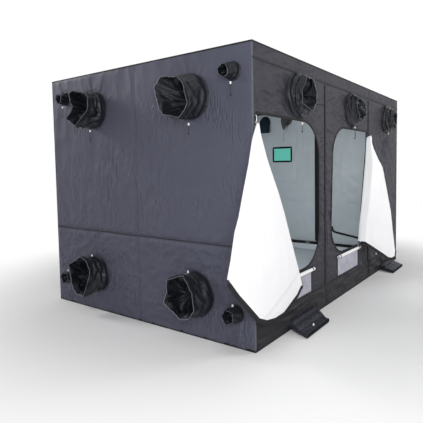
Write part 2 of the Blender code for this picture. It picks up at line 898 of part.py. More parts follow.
def make_sleeve(port, lock_share, material, lock_material):
    """Open cloth sleeve that stands out of a wall and pleats towards its mouth, with its lock."""
    builder = bmesh.new()
    columns = []
    for i in range(port.points):
        angle = 2 * math.pi * i / port.points
        along = port.along + port.radius * math.cos(angle)
        root = on_wall(port.wall, along, gap, port.up + port.radius * math.sin(angle))
        ways = [sleeve_point(port, angle, k / sleeve_rings) for k in range(sleeve_rings + 1)]
        columns.append([builder.verts.new(point) for point in [root] + ways])
    grid_faces(builder, columns + columns[:1])
    sleeve = add_object(port.name, builder, material, smooth=True)
    thicken(sleeve, cloth)
    side = math.copysign(1.0, port.rise)
    turn = lock_turn if side < 0 and port.wall == "left" else 0.0
    seat = sleeve_point(port, side * math.pi / 2 - turn, lock_share)
    start = seat + Vector((0.0, 0.0, side * (cloth / 2 - lock_seat)))
    end = start + Vector((0.0, 0.0, side * lock_length))
    add_lock(sleeve, start, end, lock_material)
    return end


def make_hanging_sleeve(name, along, up, radius, reach, drop, end_radius, points, material):
    """Cloth sleeve inside the right wall that bends down and hangs."""
    builder = bmesh.new()
    rings = 2 * sleeve_rings
    columns = []
    for i in range(points):
        angle = 2 * math.pi * i / points
        root = on_wall("right", along + radius * math.cos(angle), -cloth - gap, up + radius * math.sin(angle))
        column = [builder.verts.new(root)]
        for k in range(rings + 1):
            step = k / rings
            turn = step * math.pi / 2
            size = radius + (end_radius - radius) * step
            inward = cloth + gap + sleeve_collar + (reach + size * math.sin(angle)) * math.sin(turn)
            height = up - drop * (1 - math.cos(turn)) + size * math.sin(angle) * math.cos(turn)
            place = on_wall("right", along + size * math.cos(angle), -inward, height)
            column.append(builder.verts.new(place))
        columns.append(column)
    grid_faces(builder, columns + columns[:1])
    sleeve = add_object(name, builder, material, smooth=True)
    thicken(sleeve, cloth)
    return sleeve


def make_foot_sleeve(name, place, material, lock_material):
    """Wide cable sleeve that lies on the ground in front of the wall, flat at its mouth."""
    builder = bmesh.new()
    columns = []
    root = foot_slot(place, 0.0)
    mouth_up = cloth / 2 + foot_mouth_height / 2
    mouth_along = place - foot_mouth_shift
    mouth = stadium(mouth_along, mouth_up, foot_mouth_width, foot_mouth_height, foot_sleeve_points)
    for first, second in zip(root, mouth):
        column = [builder.verts.new(on_wall("front", first[0], gap, first[1]))]
        for k in range(sleeve_rings + 1):
            step = k / sleeve_rings
            along = first[0] + (second[0] - first[0]) * step
            up = first[1] + (second[1] - first[1]) * math.sin(step * math.pi / 2)
            out = gap + sleeve_collar + (foot_sleeve_length - sleeve_collar) * step
            column.append(builder.verts.new(on_wall("front", along, out, up)))
        columns.append(column)
    grid_faces(builder, columns + columns[:1])
    sleeve = add_object(name, builder, material, smooth=True)
    thicken(sleeve, cloth)
    step = math.sin(foot_lock_out / foot_sleeve_length * math.pi / 2)
    root_top = foot_sleeve_lift + foot_sleeve_height
    top = root_top + (cloth / 2 + foot_mouth_height - root_top) * step
    low = on_wall("front", place - foot_lock_shift, foot_lock_out, top)
    start = low + Vector((0.0, 0.0, cloth / 2 - lock_seat))
    add_lock(sleeve, start, start + Vector((0.0, 0.0, lock_length)), lock_material)


def left_ports():
    rows = (("top", large_port_top, small_port_top, -1.0), ("low", large_port_low, small_port_low, 1.0))
    for row, large_up, small_up, side in rows:
        for end, large, small in (
            ("front", large_port_front, small_port_front),
            ("back", large_port_back, small_port_back),
        ):
            yield Port(
                f"large_sleeve_{row}_{end}", "left", large, large_up, True, large_sleeve_length, mouth_share,
                side * sleeve_droop,
            )
            yield Port(
                f"small_sleeve_{row}_{end}", "left", small, small_up, False, small_sleeve_length, mouth_share,
                side * sleeve_droop / 2,
            )


def make_sleeves(material, lock_material, cord_material):
    below = Vector((0.0, 0.0, -tail_gap))
    for port in left_ports():
        end = make_sleeve(port, lock_out_share, material, lock_material)
        if port.rise < 0:
            name = port.name.replace("sleeve", "cord_tail")
            make_tail(name, end + below, tail_length, (0.0, tail_sway, 0.0), cord_material)
    for bay, word in enumerate(("left", "middle", "right")):
        along = bay * bay_length + front_port_along
        port = Port(
            f"front_sleeve_{word}", "front", along, front_port_up, True, front_sleeve_length,
            front_mouth_share, -front_sleeve_droop,
        )
        end = make_sleeve(port, front_lock_out_share, material, lock_material) + below
        if word == "left":
            make_tail("front_cord_tail_left", end, front_tail_length, (tail_sway / 2, 0.0, 0.0), cord_material)
        if word == "middle":
            for name, side in (("front_cord_tail_middle_1", -1.0), ("front_cord_tail_middle_2", 1.0)):
                place = end + Vector((side * lock_radius / 2, 0.0, 0.0))
                sway = (side * tail_spread, -tail_sway, 0.0)
                make_tail(name, place, front_tail_length, sway, cord_material)
    gathered = make_hanging_sleeve(
        "inner_sleeve_gathered", gathered_port_along, gathered_port_up, gathered_port_radius, gathered_reach,
        gathered_drop, gathered_end_radius, small_sleeve_points, material,
    )
    inward = cloth + gap + sleeve_collar + gathered_reach
    top = on_wall("right", gathered_port_along, -inward, gathered_port_up - gathered_drop + lock_radius)
    end = top - Vector((0.0, 0.0, lock_length))
    add_lock(gathered, top, end, lock_material)
    make_tail("inner_cord_tail", end + below, inner_tail_length, (0.0, tail_spread, 0.0), cord_material)
    make_hanging_sleeve(
        "inner_sleeve_open", open_port_along, open_port_up, open_port_radius, open_sleeve_reach,
        open_sleeve_drop, open_port_radius, small_sleeve_points, material,
    )
    for place, word in zip(foot_sleeve_places, ("left", "right")):
        make_foot_sleeve(f"foot_sleeve_{word}", place, material, lock_material)


def make_window(pane_material, cover_material):
    """Green film pane with its binding on the inside, and the cloth cover hanging open outside."""
    builder = bmesh.new()
    outline = rectangle(window_front + gap, window_back - gap, window_low + gap, window_high - gap)
    inside = -cloth - gap
    add_wall_prism(builder, "right", outline, inside - window_border_thickness / 2, 0.0)
    pane = add_object("observation_window", builder, pane_material)
    builder = bmesh.new()
    outer = rectangle(
        window_front - window_border, window_back + window_border, window_low - window_border,
        window_high + window_border,
    )
    inner = rectangle(
        window_front + window_border / 2, window_back - window_border / 2, window_low + window_border / 2,
        window_high - window_border / 2,
    )
    loops = []
    for depth in (inside, inside - window_border_thickness):
        for outline in (outer, inner):
            loops.append([builder.verts.new(on_wall("right", a, depth, u)) for a, u in outline])
    outer_near, inner_near, outer_far, inner_far = loops
    for i in range(len(outer)):
        j = (i + 1) % len(outer)
        builder.faces.new((outer_near[i], outer_near[j], inner_near[j], inner_near[i]))
        builder.faces.new((outer_far[j], outer_far[i], inner_far[i], inner_far[j]))
        builder.faces.new((outer_near[j], outer_near[i], outer_far[i], outer_far[j]))
        builder.faces.new((inner_near[i], inner_near[j], inner_far[j], inner_far[i]))
    fuse(pane, add_object("observation_window_border", builder, pane_material))
    builder = bmesh.new()
    height = window_height + 2 * window_cover_margin
    top = window_low - window_cover_margin
    outline = rectangle(window_front - window_cover_margin, window_back + window_cover_margin, top - height, top)
    add_wall_prism(builder, "right", outline, gap, gap + cloth)
    cover = add_object("window_cover", builder, cover_material)
    set_origin(cover, on_wall("right", (window_front + window_back) / 2, gap + cloth / 2, top))


clear_scene()
wall_cloth = principled("wall_cloth", (0.115, 0.11, 0.14), 0.75)
front_cloth = principled("front_cloth", (0.07, 0.068, 0.08), 0.75)
sleeve_cloth = principled("sleeve_cloth", (0.045, 0.048, 0.055), 0.8)
door_lining = principled("door_lining", (0.86, 0.86, 0.87), 0.45)
vent_net = principled("vent_net", (0.4, 0.4, 0.46), 0.9)
tray_cloth = principled("tray_cloth", (0.6, 0.62, 0.63), 0.5)
window_film = principled("window_film", (0.08, 0.45, 0.32), 0.2, alpha=0.7)
steel = principled("steel", (0.05, 0.05, 0.055), 0.4, metallic=0.6)
white_plastic = principled("white_plastic", (0.85, 0.85, 0.85), 0.4)
cord_black = principled("cord_black", (0.02, 0.02, 0.02), 0.8)
nickel = principled("nickel", (0.45, 0.45, 0.46), 0.3, metallic=1.0)

make_rail_frame("base_frame", rail_low, 1, False, steel)
make_rail_frame("top_frame", rail_high, -1, True, steel)
make_poles(steel)
make_hanging_bar("hanging_bar", hanging_bar_place, steel)
make_front_panels(front_cloth)
make_left_walls(wall_cloth)
make_plain_skin(wall_cloth)
make_spill_tray(tray_cloth)
left_fold = DoorFold(
    0, False, left_fold_drop, left_fold_foot, left_tip_height, left_open_angle, left_fold_radius
)
right_fold = DoorFold(
    1, True, right_fold_drop, right_fold_foot, right_tip_height, right_open_angle, right_fold_radius
)
for door_word, door_fold in (("left", left_fold), ("right", right_fold)):
    make_door(door_word, door_fold, door_lining)
    make_slider(door_word, door_fold, nickel)
make_vent("left", 0, False, vent_net, door_lining)
make_vent("right", 1, True, vent_net, door_lining)
make_sleeves(sleeve_cloth, white_plastic, cord_black)
make_window(window_film, wall_cloth)
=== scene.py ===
"""Dresses the indoor grow tent: cloth skin, duct sleeves, folded doors, vents, window and tray.

Metres, +Z up, in the CAD's frame. Places on a wall are given as along it, out from its face, and up,
measured from the tent's front left corner on the ground.
"""

import math

import bmesh
import bpy
import numpy as np
from mathutils import Matrix, Vector, kdtree, noise
from mathutils.geometry import delaunay_2d_cdt


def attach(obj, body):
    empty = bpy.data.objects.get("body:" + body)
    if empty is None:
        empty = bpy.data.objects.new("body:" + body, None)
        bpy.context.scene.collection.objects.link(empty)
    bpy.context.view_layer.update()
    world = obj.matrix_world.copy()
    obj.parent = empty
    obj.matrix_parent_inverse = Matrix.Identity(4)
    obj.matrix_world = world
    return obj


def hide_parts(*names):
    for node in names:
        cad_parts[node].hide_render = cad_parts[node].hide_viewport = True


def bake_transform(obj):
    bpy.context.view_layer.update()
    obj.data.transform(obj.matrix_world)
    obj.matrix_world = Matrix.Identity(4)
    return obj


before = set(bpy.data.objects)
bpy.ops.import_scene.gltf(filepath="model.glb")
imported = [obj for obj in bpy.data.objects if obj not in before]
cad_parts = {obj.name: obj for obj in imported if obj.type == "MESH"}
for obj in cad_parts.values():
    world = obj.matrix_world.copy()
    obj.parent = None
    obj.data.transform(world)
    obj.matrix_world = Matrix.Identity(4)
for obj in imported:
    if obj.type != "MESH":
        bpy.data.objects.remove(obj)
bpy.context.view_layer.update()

tent_length = 3.6
tent_depth = 2.4
tent_height = 2.2
bay_length = 1.2
cloth = 0.002
sleeve_cloth = 0.0014
gap = 0.0003
skin = cloth + gap
half_length = tent_length / 2
half_depth = tent_depth / 2
wall_top = tent_height - cloth - gap
cord_diameter = 0.0035

# Heights of the level seams, and how far a tape's underside stands off the cloth.
level_seam = 0.75
band_seam = 2.085
foot_seam = 0.213
tape_lift = 0.0004


def into_scene(name, data):
    """A new object in the scene."""
    item = bpy.data.objects.new(name, data)
    bpy.context.scene.collection.objects.link(item)
    return item


# ---- camera, fitted to the picture's edges

picture_size = 423
focal_pixels = 427.52
centre_pixel = (247.72, 192.21)
camera_turn = [math.radians(value) for value in (55.659, -3.549, -0.787)]
camera_place = Vector((-2.484 - half_length, -1.646 - half_depth, 1.339))


def make_camera():
    turn, tilt, roll = camera_turn
    forward = Vector((math.sin(turn) * math.cos(tilt), math.cos(turn) * math.cos(tilt), math.sin(tilt)))
    level = Vector((math.cos(turn), -math.sin(turn), 0.0))
    upright = level.cross(forward)
    right = level * math.cos(roll) + upright * math.sin(roll)
    up = upright * math.cos(roll) - level * math.sin(roll)
    camera = bpy.data.cameras.new("camera")
    camera.sensor_width = 36
    camera.lens = focal_pixels / picture_size * camera.sensor_width
    camera.shift_x = (picture_size / 2 - centre_pixel[0]) / picture_size
    camera.shift_y = (centre_pixel[1] - picture_size / 2) / picture_size
    item = into_scene("camera", camera)
    rotation = Matrix((right, up, -forward)).transposed().to_4x4()
    item.matrix_world = Matrix.Translation(camera_place) @ rotation
    bpy.context.scene.camera = item


make_camera()


# ---- small helpers

def on_wall(wall, along, out, up):
    """World point from a place along a wall, out from its outer face, and up."""
    if wall == "front":
        return Vector((along - half_length, -half_depth - out, up))
    if wall == "back":
        return Vector((along - half_length, half_depth + out, up))
    if wall == "left":
        return Vector((-half_length - out, along - half_depth, up))
    return Vector((half_length + out, along - half_depth, up))


def smooth_step(value):
    value = min(1.0, max(0.0, value))
    return value * value * (3 - 2 * value)


def swell(x, y, z):
    """Smooth uneven swell of cloth, from about -1 to 1."""
    return noise.noise(Vector((x, y, z)))


def ridge(x, y, z):
    """Folds of cloth with sharp crests: 1 on a crest, about 0 between."""
    return 1 - 2 * abs(swell(x, y, z))


def crest(along, up, seed, width, length):
    """Sharp folds on a wall; width and length are a fold's size."""
    return ridge(along / width, up / length, seed)


def sway(along, up, seed, size):
    """Soft swells on a wall, each about as wide as size."""
    return swell(along / size, up / size, seed)


def resample(points, step, closed):
    """The same line with points no further apart than step."""
    result = []
    pairs = list(zip(points, points[1:] + points[:1] if closed else points[1:]))
    for first, second in pairs:
        first, second = Vector(first), Vector(second)
        count = max(1, math.ceil((second - first).length / step))
        result += [first.lerp(second, i / count) for i in range(count)]
    if not closed:
        result.append(Vector(points[-1]))
    return result


def inside_loop(points, loop):
    """Which of the points lie inside a closed loop."""
    x, y = points[:, 0], points[:, 1]
    inside = np.zeros(len(points), bool)
    for (ax, ay), (bx, by) in zip(loop, loop[1:] + loop[:1]):
        if ay == by:
            continue
        crosses = (ay > y) != (by > y)
        inside ^= crosses & (x < (bx - ax) * (y - ay) / (by - ay) + ax)
    return inside


def inside_cut(points, loops):
    """Which of the points lie on the cloth: inside the first loop and outside the others."""
    keep = inside_loop(points, loops[0])
    for loop in loops[1:]:
        keep &= ~inside_loop(points, loop)
    return keep


def point_tree(points):
    tree = kdtree.KDTree(len(points))
    for i, point in enumerate(points):
        tree.insert((point.x, point.y, 0.0), i)
    tree.balance()
    return tree


def triangle_grid(points, cell):
    """Points of a triangular grid over the others' extent."""
    plan = np.array([tuple(p) for p in points])
    low, high = plan.min(0), plan.max(0)
    row = cell * math.sqrt(3) / 2
    grid = []
    for i, up in enumerate(np.arange(low[1] + row / 2, high[1], row)):
        shift = cell / 2 if i % 2 else 0.0
        alongs = np.arange(low[0] + shift + cell / 4, high[0], cell)
        grid.append(np.stack([alongs, np.full(len(alongs), up)], 1))
    return np.concatenate(grid)


def cut_cloth(outline, holes, cell, lines=()):
    """A flat cut of cloth as triangles: its points (along, up), their distance from an edge, and faces."""
    loops = [resample(loop, cell, True) for loop in [outline, *holes]]
    points, edges = [], []
    for loop in loops:
        start = len(points)
        points += loop
        edges += [(start + i, start + (i + 1) % len(loop)) for i in range(len(loop))]
    border = point_tree(points)
    grid = triangle_grid(points, cell)
    for line in lines:
        start = len(points)
        points += resample(line, cell, False)
        edges += [(i, i + 1) for i in range(start, len(points) - 1)]
    fixed = point_tree(points)
    corners = [[tuple(p) for p in loop] for loop in loops]
    for point in grid[inside_cut(grid, corners)]:
        if fixed.find((point[0], point[1], 0.0))[2] > cell * 0.55:
            points.append(Vector(point))
    verts, _, faces, _, _, _ = delaunay_2d_cdt(points, edges, [], 0, 1e-7)
    flat = np.array([tuple(v) for v in verts])
    faces = np.array([list(f) for f in faces])
    faces = faces[inside_cut(flat[faces].mean(1), corners)]
    used = np.unique(faces)
    renumber = np.full(len(flat), -1)
    renumber[used] = np.arange(len(used))
    flat = flat[used]
    distance = [border.find((a, u, 0.0))[2] for a, u in flat]
    return flat, distance, renumber[faces].tolist()


def circle(along, up, radius, count=64):
    return [(along + radius * math.cos(t), up + radius * math.sin(t)) for t in turns(count)]


def turns(count):
    """The angles of count even steps round a circle."""
    return [2 * math.pi * i / count for i in range(count)]


def rectangle(along_low, along_high, up_low, up_high):
    return [(along_low, up_low), (along_high, up_low), (along_high, up_high), (along_low, up_high)]


def grown(ends, by):
    """The rectangle between its four ends, moved out all round."""
    low, high, bottom, top = ends
    return rectangle(low - by, high + by, bottom - by, top + by)


def add_piece(name, verts, faces, materials, body, slot, replaces=(), kinds=None, sharp=None):
    """A finished mesh piece on its body, standing for the CAD nodes that it replaces."""
    mesh = bpy.data.meshes.new(name)
    mesh.from_pydata([tuple(v) for v in verts], [], faces)
    if kinds is not None:
        mesh.polygons.foreach_set("material_index", kinds)
    mesh.shade_smooth()
    if sharp is not None:
        mesh.set_sharp_from_angle(angle=math.radians(sharp))
    for material in materials:
        mesh.materials.append(material)
    item = into_scene(name, mesh)
    if body:
        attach(item, body)
    if replaces:
        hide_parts(*replaces)
    return item


def thicken(item, thickness, offset, other_side=0):
    """Give a sheet its thickness; other_side counts on from a face's material to the one behind it."""
    modifier = item.modifiers.new("thickness", "SOLIDIFY")
    modifier.thickness = thickness
    modifier.offset = offset
    modifier.use_rim = True
    modifier.material_offset = other_side


def turned_outwards(verts, faces, outward):
    """The faces, turned so that most point along a direction."""
    total = Vector((0.0, 0.0, 0.0))
    for face in faces[:: max(1, len(faces) // 400)]:
        a, b, c = (Vector(verts[i]) for i in face[:3])
        total += (b - a).cross(c - a)
    return faces if total.dot(Vector(outward)) > 0 else [list(reversed(face)) for face in faces]


def turned_to(verts, faces, pick, way):
    """The faces, all turned over if the picked one points away from a direction."""
    a, b, c = (verts[i] for i in faces[pick][:3])
    return faces if (b - a).cross(c - a).dot(way) >= 0 else [list(reversed(face)) for face in faces]


def grid_sheet(rows, closed=False):
    """Vertices and quads of a sheet given as rows of points."""
    count = len(rows[0])
    verts = [point for row in rows for point in row]
    faces = []
    for i in range(len(rows) - 1):
        for j in range(count if closed else count - 1):
            k = (j + 1) % count
            faces.append([i * count + j, i * count + k, (i + 1) * count + k, (i + 1) * count + j])
    return verts, faces


def join_shapes(shapes):
    verts, faces = [], []
    for more_verts, more_faces in shapes:
        start = len(verts)
        verts += more_verts
        faces += [[start + i for i in face] for face in more_faces]
    return verts, faces


def fix_outside(item):
    """Turn each closed shell of a piece so that its faces point out."""
    builder = bmesh.new()
    builder.from_mesh(item.data)
    bmesh.ops.recalc_face_normals(builder, faces=builder.faces)
    builder.to_mesh(item.data)
    builder.free()


def ribbon_shape(path, facing, width, thickness, closed=False):
    """A flat tape with soft edges that follows a path and lies against the surface behind it."""
    rows = []
    count = len(path)
    profile = ((-0.5, 0.0), (-0.49, 0.7), (-0.42, 1.0), (0.42, 1.0), (0.49, 0.7), (0.5, 0.0))
    facing = Vector(facing)
    for i, point in enumerate(path):
        before = path[(i - 1) % count if closed else max(0, i - 1)]
        after = path[(i + 1) % count if closed else min(count - 1, i + 1)]
        side = (Vector(after) - Vector(before)).normalized().cross(facing)
        rows.append([Vector(point) + side * width * a + facing * thickness * o for a, o in profile])
    if closed:
        rows.append(rows[0])
    verts, faces = grid_sheet(rows, closed=True)
    if not closed:
        last = len(verts) - len(profile)
        faces.append(list(reversed(range(len(profile)))))
        faces.append([last + i for i in range(len(profile))])
    return verts, faces


def lathe_shape(start, axis, profile, sides):
    """A turned shape: profile is (distance along the axis, radius) from end to end."""
    turn = Vector(axis).to_track_quat("Z", "Y").to_matrix()
    rows = []
    for distance, radius in profile:
        rows.append([
            Vector(start) + turn @ Vector((radius * math.cos(t), radius * math.sin(t), distance)) for t in turns(sides)
        ])
    verts, faces = grid_sheet(rows, closed=True)
    faces.append(list(reversed(range(sides))))
    faces.append([len(verts) - sides + i for i in range(sides)])
    return verts, faces


# ---- materials

def srgb(code):
    """A hex colour as the linear numbers that a shader reads."""
    parts = [int(code[i:i + 2], 16) / 255 for i in (1, 3, 5)]
    return [p / 12.92 if p <= 0.04045 else ((p + 0.055) / 1.055) ** 2.4 for p in parts] + [1.0]


def add_node(tree, kind, inputs=None, **settings):
    """A node with its settings, and each input set to a value or linked to a socket."""
    node = tree.nodes.new(kind)
    for name, value in settings.items():
        setattr(node, name, value)
    for key, value in (inputs or {}).items():
        socket = node.inputs[key]
        if isinstance(value, bpy.types.NodeSocket):
            tree.links.new(value, socket)
        else:
            socket.default_value = value
    return node


def new_material(name):
    material = bpy.data.materials.new(name)
    material.use_nodes = True
    tree = material.node_tree
    tree.nodes.clear()
    shader = add_node(tree, "ShaderNodeBsdfPrincipled")
    out = add_node(tree, "ShaderNodeOutputMaterial")
    tree.links.new(shader.outputs["BSDF"], out.inputs["Surface"])
    place = add_node(tree, "ShaderNodeTexCoord").outputs["Object"]
    return material, tree, shader, place


def set_shader(shader, **values):
    for name, value in values.items():
        shader.inputs[name.replace("_", " ")].default_value = value


def per_metre(millimetres):
    return 1000.0 / millimetres


def add_noise(tree, place, size, detail, **more):
    """Noise over a place, its swells about size millimetres apart."""
    inputs = {"Vector": place, "Scale": per_metre(size), "Detail": detail, **more}
    return add_node(tree, "ShaderNodeTexNoise", inputs).outputs["Fac"]


def add_range(tree, value, **ends):
    inputs = {"Value": value, **{name.replace("_", " "): end for name, end in ends.items()}}
    return add_node(tree, "ShaderNodeMapRange", inputs)


def multiply(tree, first, second):
    return add_node(tree, "ShaderNodeMath", {0: first, 1: second}, operation="MULTIPLY").outputs[0]


def two_tone(tree, shader, share, dark, light):
    """The base colour runs between two hex colours."""
    colour = add_node(tree, "ShaderNodeMix", {"Factor": share}, data_type="RGBA")
    colour.inputs[6].default_value = srgb(dark)
    colour.inputs[7].default_value = srgb(light)
    tree.links.new(colour.outputs[2], shader.inputs["Base Color"])


def set_relief(tree, shader, *layers):
    """Bumps one over another; each is its height, strength and distance."""
    under = {}
    for height, strength, distance in layers:
        inputs = {"Height": height, "Strength": strength, "Distance": distance, **under}
        under = {"Normal": add_node(tree, "ShaderNodeBump", inputs).outputs["Normal"]}
    tree.links.new(under["Normal"], shader.inputs["Normal"])


def woven_cloth(name, dark, light, crease, depth, patchy=1.0, roughness=0.55, taut=1.0, gloss=0.15):
    """Coated polyester oxford, woven then film backed: a dull satin with a thread grid and worn creases.

    crease is a crease's width and length in millimetres, and depth how deep it is.
    """
    material, tree, shader, place = new_material(name)
    # The real thread pitch is 0.5 mm; it is drawn at 5 mm, the finest that a pixel of the picture can hold.
    threads = add_noise(tree, place, 5, 1.0)
    wide, long = (per_metre(size) for size in crease)
    stretched = add_node(tree, "ShaderNodeMapping", {"Vector": place, "Scale": (wide, wide, long)})
    creases = add_node(
        tree, "ShaderNodeTexNoise",
        {"Vector": stretched.outputs["Vector"], "Scale": 1.0, "Detail": 1.5, "Roughness": 0.5, "Offset": 0.9,
         "Gain": 1.6, "Distortion": 0.9},
        noise_type="RIDGED_MULTIFRACTAL", normalize=True,
    )
    patches = add_noise(tree, place, 460, 2.0)
    height = add_node(tree, "ShaderNodeSeparateXYZ", {"Vector": place})
    # The cloth is pulled smooth along the roof edge, where it hangs from the frame.
    slack = add_range(tree, height.outputs["Z"], From_Min=2.05, From_Max=1.75, To_Min=taut)
    worn = add_range(tree, patches, From_Min=0.35, From_Max=0.62, To_Min=1.0 - patchy, To_Max=1.0)
    slack.interpolation_type = worn.interpolation_type = "SMOOTHSTEP"
    creased = multiply(tree, worn.outputs["Result"], slack.outputs["Result"])
    two_tone(tree, shader, patches, dark, light)
    set_relief(tree, shader, (threads, 0.2, 0.0003), (creases.outputs["Fac"], creased, depth))
    set_shader(shader, Roughness=roughness, Specular_IOR_Level=gloss)
    return material


def reflective_lining(name, shade, pale):
    """Aluminised film laminated under white embossed polythene: a bright lining with tiny diamonds."""
    material, tree, shader, place = new_material(name)
    # The emboss is 4 mm diamonds, drawn at 9 mm so that they show.
    turned = add_node(
        tree, "ShaderNodeMapping", {"Vector": place, "Rotation": [math.radians(45)] * 3, "Scale": [per_metre(9)] * 3}
    )
    diamonds = add_node(
        tree, "ShaderNodeTexVoronoi", {"Vector": turned.outputs["Vector"], "Scale": 1.0, "Randomness": 0.15}
    )
    ripples = add_noise(tree, place, 260, 3.0, Distortion=0.6)
    set_relief(tree, shader, (diamonds.outputs["Distance"], 0.22, 0.0012), (ripples, 0.5, 0.01))
    two_tone(tree, shader, ripples, shade, pale)
    set_shader(shader, Roughness=0.42, Specular_IOR_Level=0.5)
    return material


def ribbed_tape(name, dark, light):
    """Woven polyester grosgrain: dull black with fine cross ribs."""
    material, tree, shader, place = new_material(name)
    # Ribs are 0.8 mm apart, drawn 4 mm apart.
    ribs = add_noise(tree, place, 4, 2.0, Roughness=0.6)
    two_tone(tree, shader, add_noise(tree, place, 70, 2.0), dark, light)
    set_relief(tree, shader, (ribs, 0.4, 0.001))
    set_shader(shader, Roughness=0.78, Specular_IOR_Level=0.3)
    return material


def moulded_plastic(name, code, roughness, grain, depth):
    """Injection moulded plastic: an even colour with a faint mould grain."""
    material, tree, shader, place = new_material(name)
    texture = add_noise(tree, place, grain, 2.0)
    set_relief(tree, shader, (texture, 0.3, depth))
    rough = add_range(tree, texture, To_Min=roughness - 0.05, To_Max=roughness + 0.07)
    tree.links.new(rough.outputs["Result"], shader.inputs["Roughness"])
    set_shader(shader, Base_Color=srgb(code), IOR=1.49)
    return material


def powder_coated_steel():
    """Steel tube under black powder coat: a soft gloss with the orange peel of baked powder."""
    material, tree, shader, place = new_material("powder_coated_steel")
    two_tone(tree, shader, add_noise(tree, place, 60, 4.0), "#141416", "#242427")
    set_relief(tree, shader, (add_noise(tree, place, 3, 1.0), 0.15, 0.0003))
    set_shader(shader, Roughness=0.42, Coat_Weight=0.2, Coat_Roughness=0.3)
    return material


def plated_zinc():
    """Die cast zinc under bright nickel plate, lightly brushed by handling."""
    material, tree, shader, place = new_material("plated_zinc")
    rub = add_node(tree, "ShaderNodeMapping", {"Vector": place, "Scale": (per_metre(9), per_metre(1), per_metre(1))})
    scratches = add_node(tree, "ShaderNodeTexNoise", {"Vector": rub.outputs["Vector"], "Scale": 1.0, "Detail": 3.0})
    rough = add_range(tree, scratches.outputs["Fac"], To_Min=0.2, To_Max=0.4)
    tree.links.new(rough.outputs["Result"], shader.inputs["Roughness"])
    set_shader(shader, Base_Color=srgb("#b9b7b0"), Metallic=1.0)
    return material


def braided_cord():
    """Round braided polyester cord: matt black with slanting strands."""
    material, tree, shader, place = new_material("braided_cord")
    # Strands cross every 1.5 mm, drawn every 3 mm.
    strands = add_node(
        tree, "ShaderNodeTexWave", {"Vector": place, "Scale": per_metre(19), "Distortion": 2.0},
        bands_direction="DIAGONAL",
    )
    set_relief(tree, shader, (strands.outputs["Fac"], 0.6, 0.0006))
    two_tone(tree, shader, strands.outputs["Fac"], "#0b0b0d", "#1c1c20")
    set_shader(shader, Roughness=0.8)
    return material


def vent_mesh():
    """Knitted polyester insect net, lilac grey: a grid of small dark holes in pale yarn."""
    material, tree, shader, place = new_material("knitted_net")
    # Holes are 1.5 mm, drawn 7 mm apart as the closest rows that a pixel can part.
    holes = add_node(tree, "ShaderNodeTexVoronoi", {"Vector": place, "Scale": per_metre(7), "Randomness": 0.1})
    folds = add_noise(tree, place, 120, 2.0, Distortion=1.0)
    yarn = add_range(tree, holes.outputs["Distance"], From_Min=0.15, From_Max=0.5).outputs["Result"]
    two_tone(tree, shader, multiply(tree, yarn, folds), "#8f8f9c", "#c4c4d0")
    set_relief(tree, shader, (yarn, 0.4, 0.001))
    set_shader(shader, Roughness=0.85)
    return material


def tinted_film():
    """Green tinted polyvinyl film: smooth and see-through, with shallow ripples."""
    material, tree, shader, place = new_material("tinted_film")
    set_relief(tree, shader, (add_noise(tree, place, 90, 2.0), 0.3, 0.004))
    set_shader(shader, Base_Color=srgb("#7addcc"), Roughness=0.35, Transmission_Weight=0.55, IOR=1.1)
    return material


def tray_sheet():
    """Waterproof tarpaulin, polythene coated on both faces: pale green grey with a slanting weave."""
    material, tree, shader, place = new_material("coated_tarpaulin")
    # The slit tape weave has a 2.5 mm pitch, drawn at 14 mm.
    weave = add_node(
        tree, "ShaderNodeTexWave", {"Vector": place, "Scale": per_metre(90), "Distortion": 1.5, "Detail": 2.0},
        bands_direction="DIAGONAL",
    ).outputs["Fac"]
    two_tone(tree, shader, multiply(tree, weave, add_noise(tree, place, 150, 4.0)), "#c4cbd1", "#dfe4e7")
    set_relief(tree, shader, (weave, 0.35, 0.002))
    set_shader(shader, Roughness=0.45)
    return material


wall_oxford = woven_cloth("wall_oxford", "#4a4b59", "#5a5b6a", (36, 120), 0.008, taut=0.12)
foot_sleeve_oxford = woven_cloth("foot_sleeve_oxford", "#2a2b33", "#3a3b45", (130, 90), 0.006, 0.4, 0.45)
# The front cloth is the same oxford as the walls, painted darker as painted shade on the front wall.
shade_darkened_front_oxford = woven_cloth("shade_darkened_front_oxford", "#2c2c34", "#37373f", (190, 80), 0.007, 0.5, taut=0.4)
foot_oxford = woven_cloth("foot_oxford", "#1e1e22", "#2a2a2f", (260, 45), 0.004, 0.5)
sleeve_oxford = woven_cloth("sleeve_oxford", "#15161a", "#2a2c33", (110, 110), 0.003, 0.3, 0.40, gloss=0.3)
# The inner sleeve is the same cloth as the outer sleeve, painted darker as painted shade down inside the mouth.
sleeve_inside = woven_cloth("sleeve_inside", "#0a0b0e", "#1a1d24", (130, 130), 0.003, 0.2, 0.46, gloss=0.2)
open_sleeve_oxford = woven_cloth("open_sleeve_oxford", "#16202a", "#22303c", (60, 110), 0.003, 0.5)
gathered_oxford = woven_cloth("gathered_oxford", "#4a4849", "#5a5858", (22, 90), 0.006, 0.3)
# The wall lining is the same white film as the door lining, painted grey as painted shade inside the closed tent.
shade_greyed_wall_lining = reflective_lining("shade_greyed_wall_lining", "#b0b9be", "#c4cbcf")
door_lining = reflective_lining("door_lining", "#f1f1f3", "#f8f8f9")
binding_tape = ribbed_tape("binding_tape", "#101012", "#1c1c20")
seam_tape = ribbed_tape("seam_tape", "#232329", "#303038")
# The paler tape of the front left edge is a painted highlight on the same black binding.
highlight_corner_tape = ribbed_tape("highlight_corner_tape", "#55555f", "#66666f")
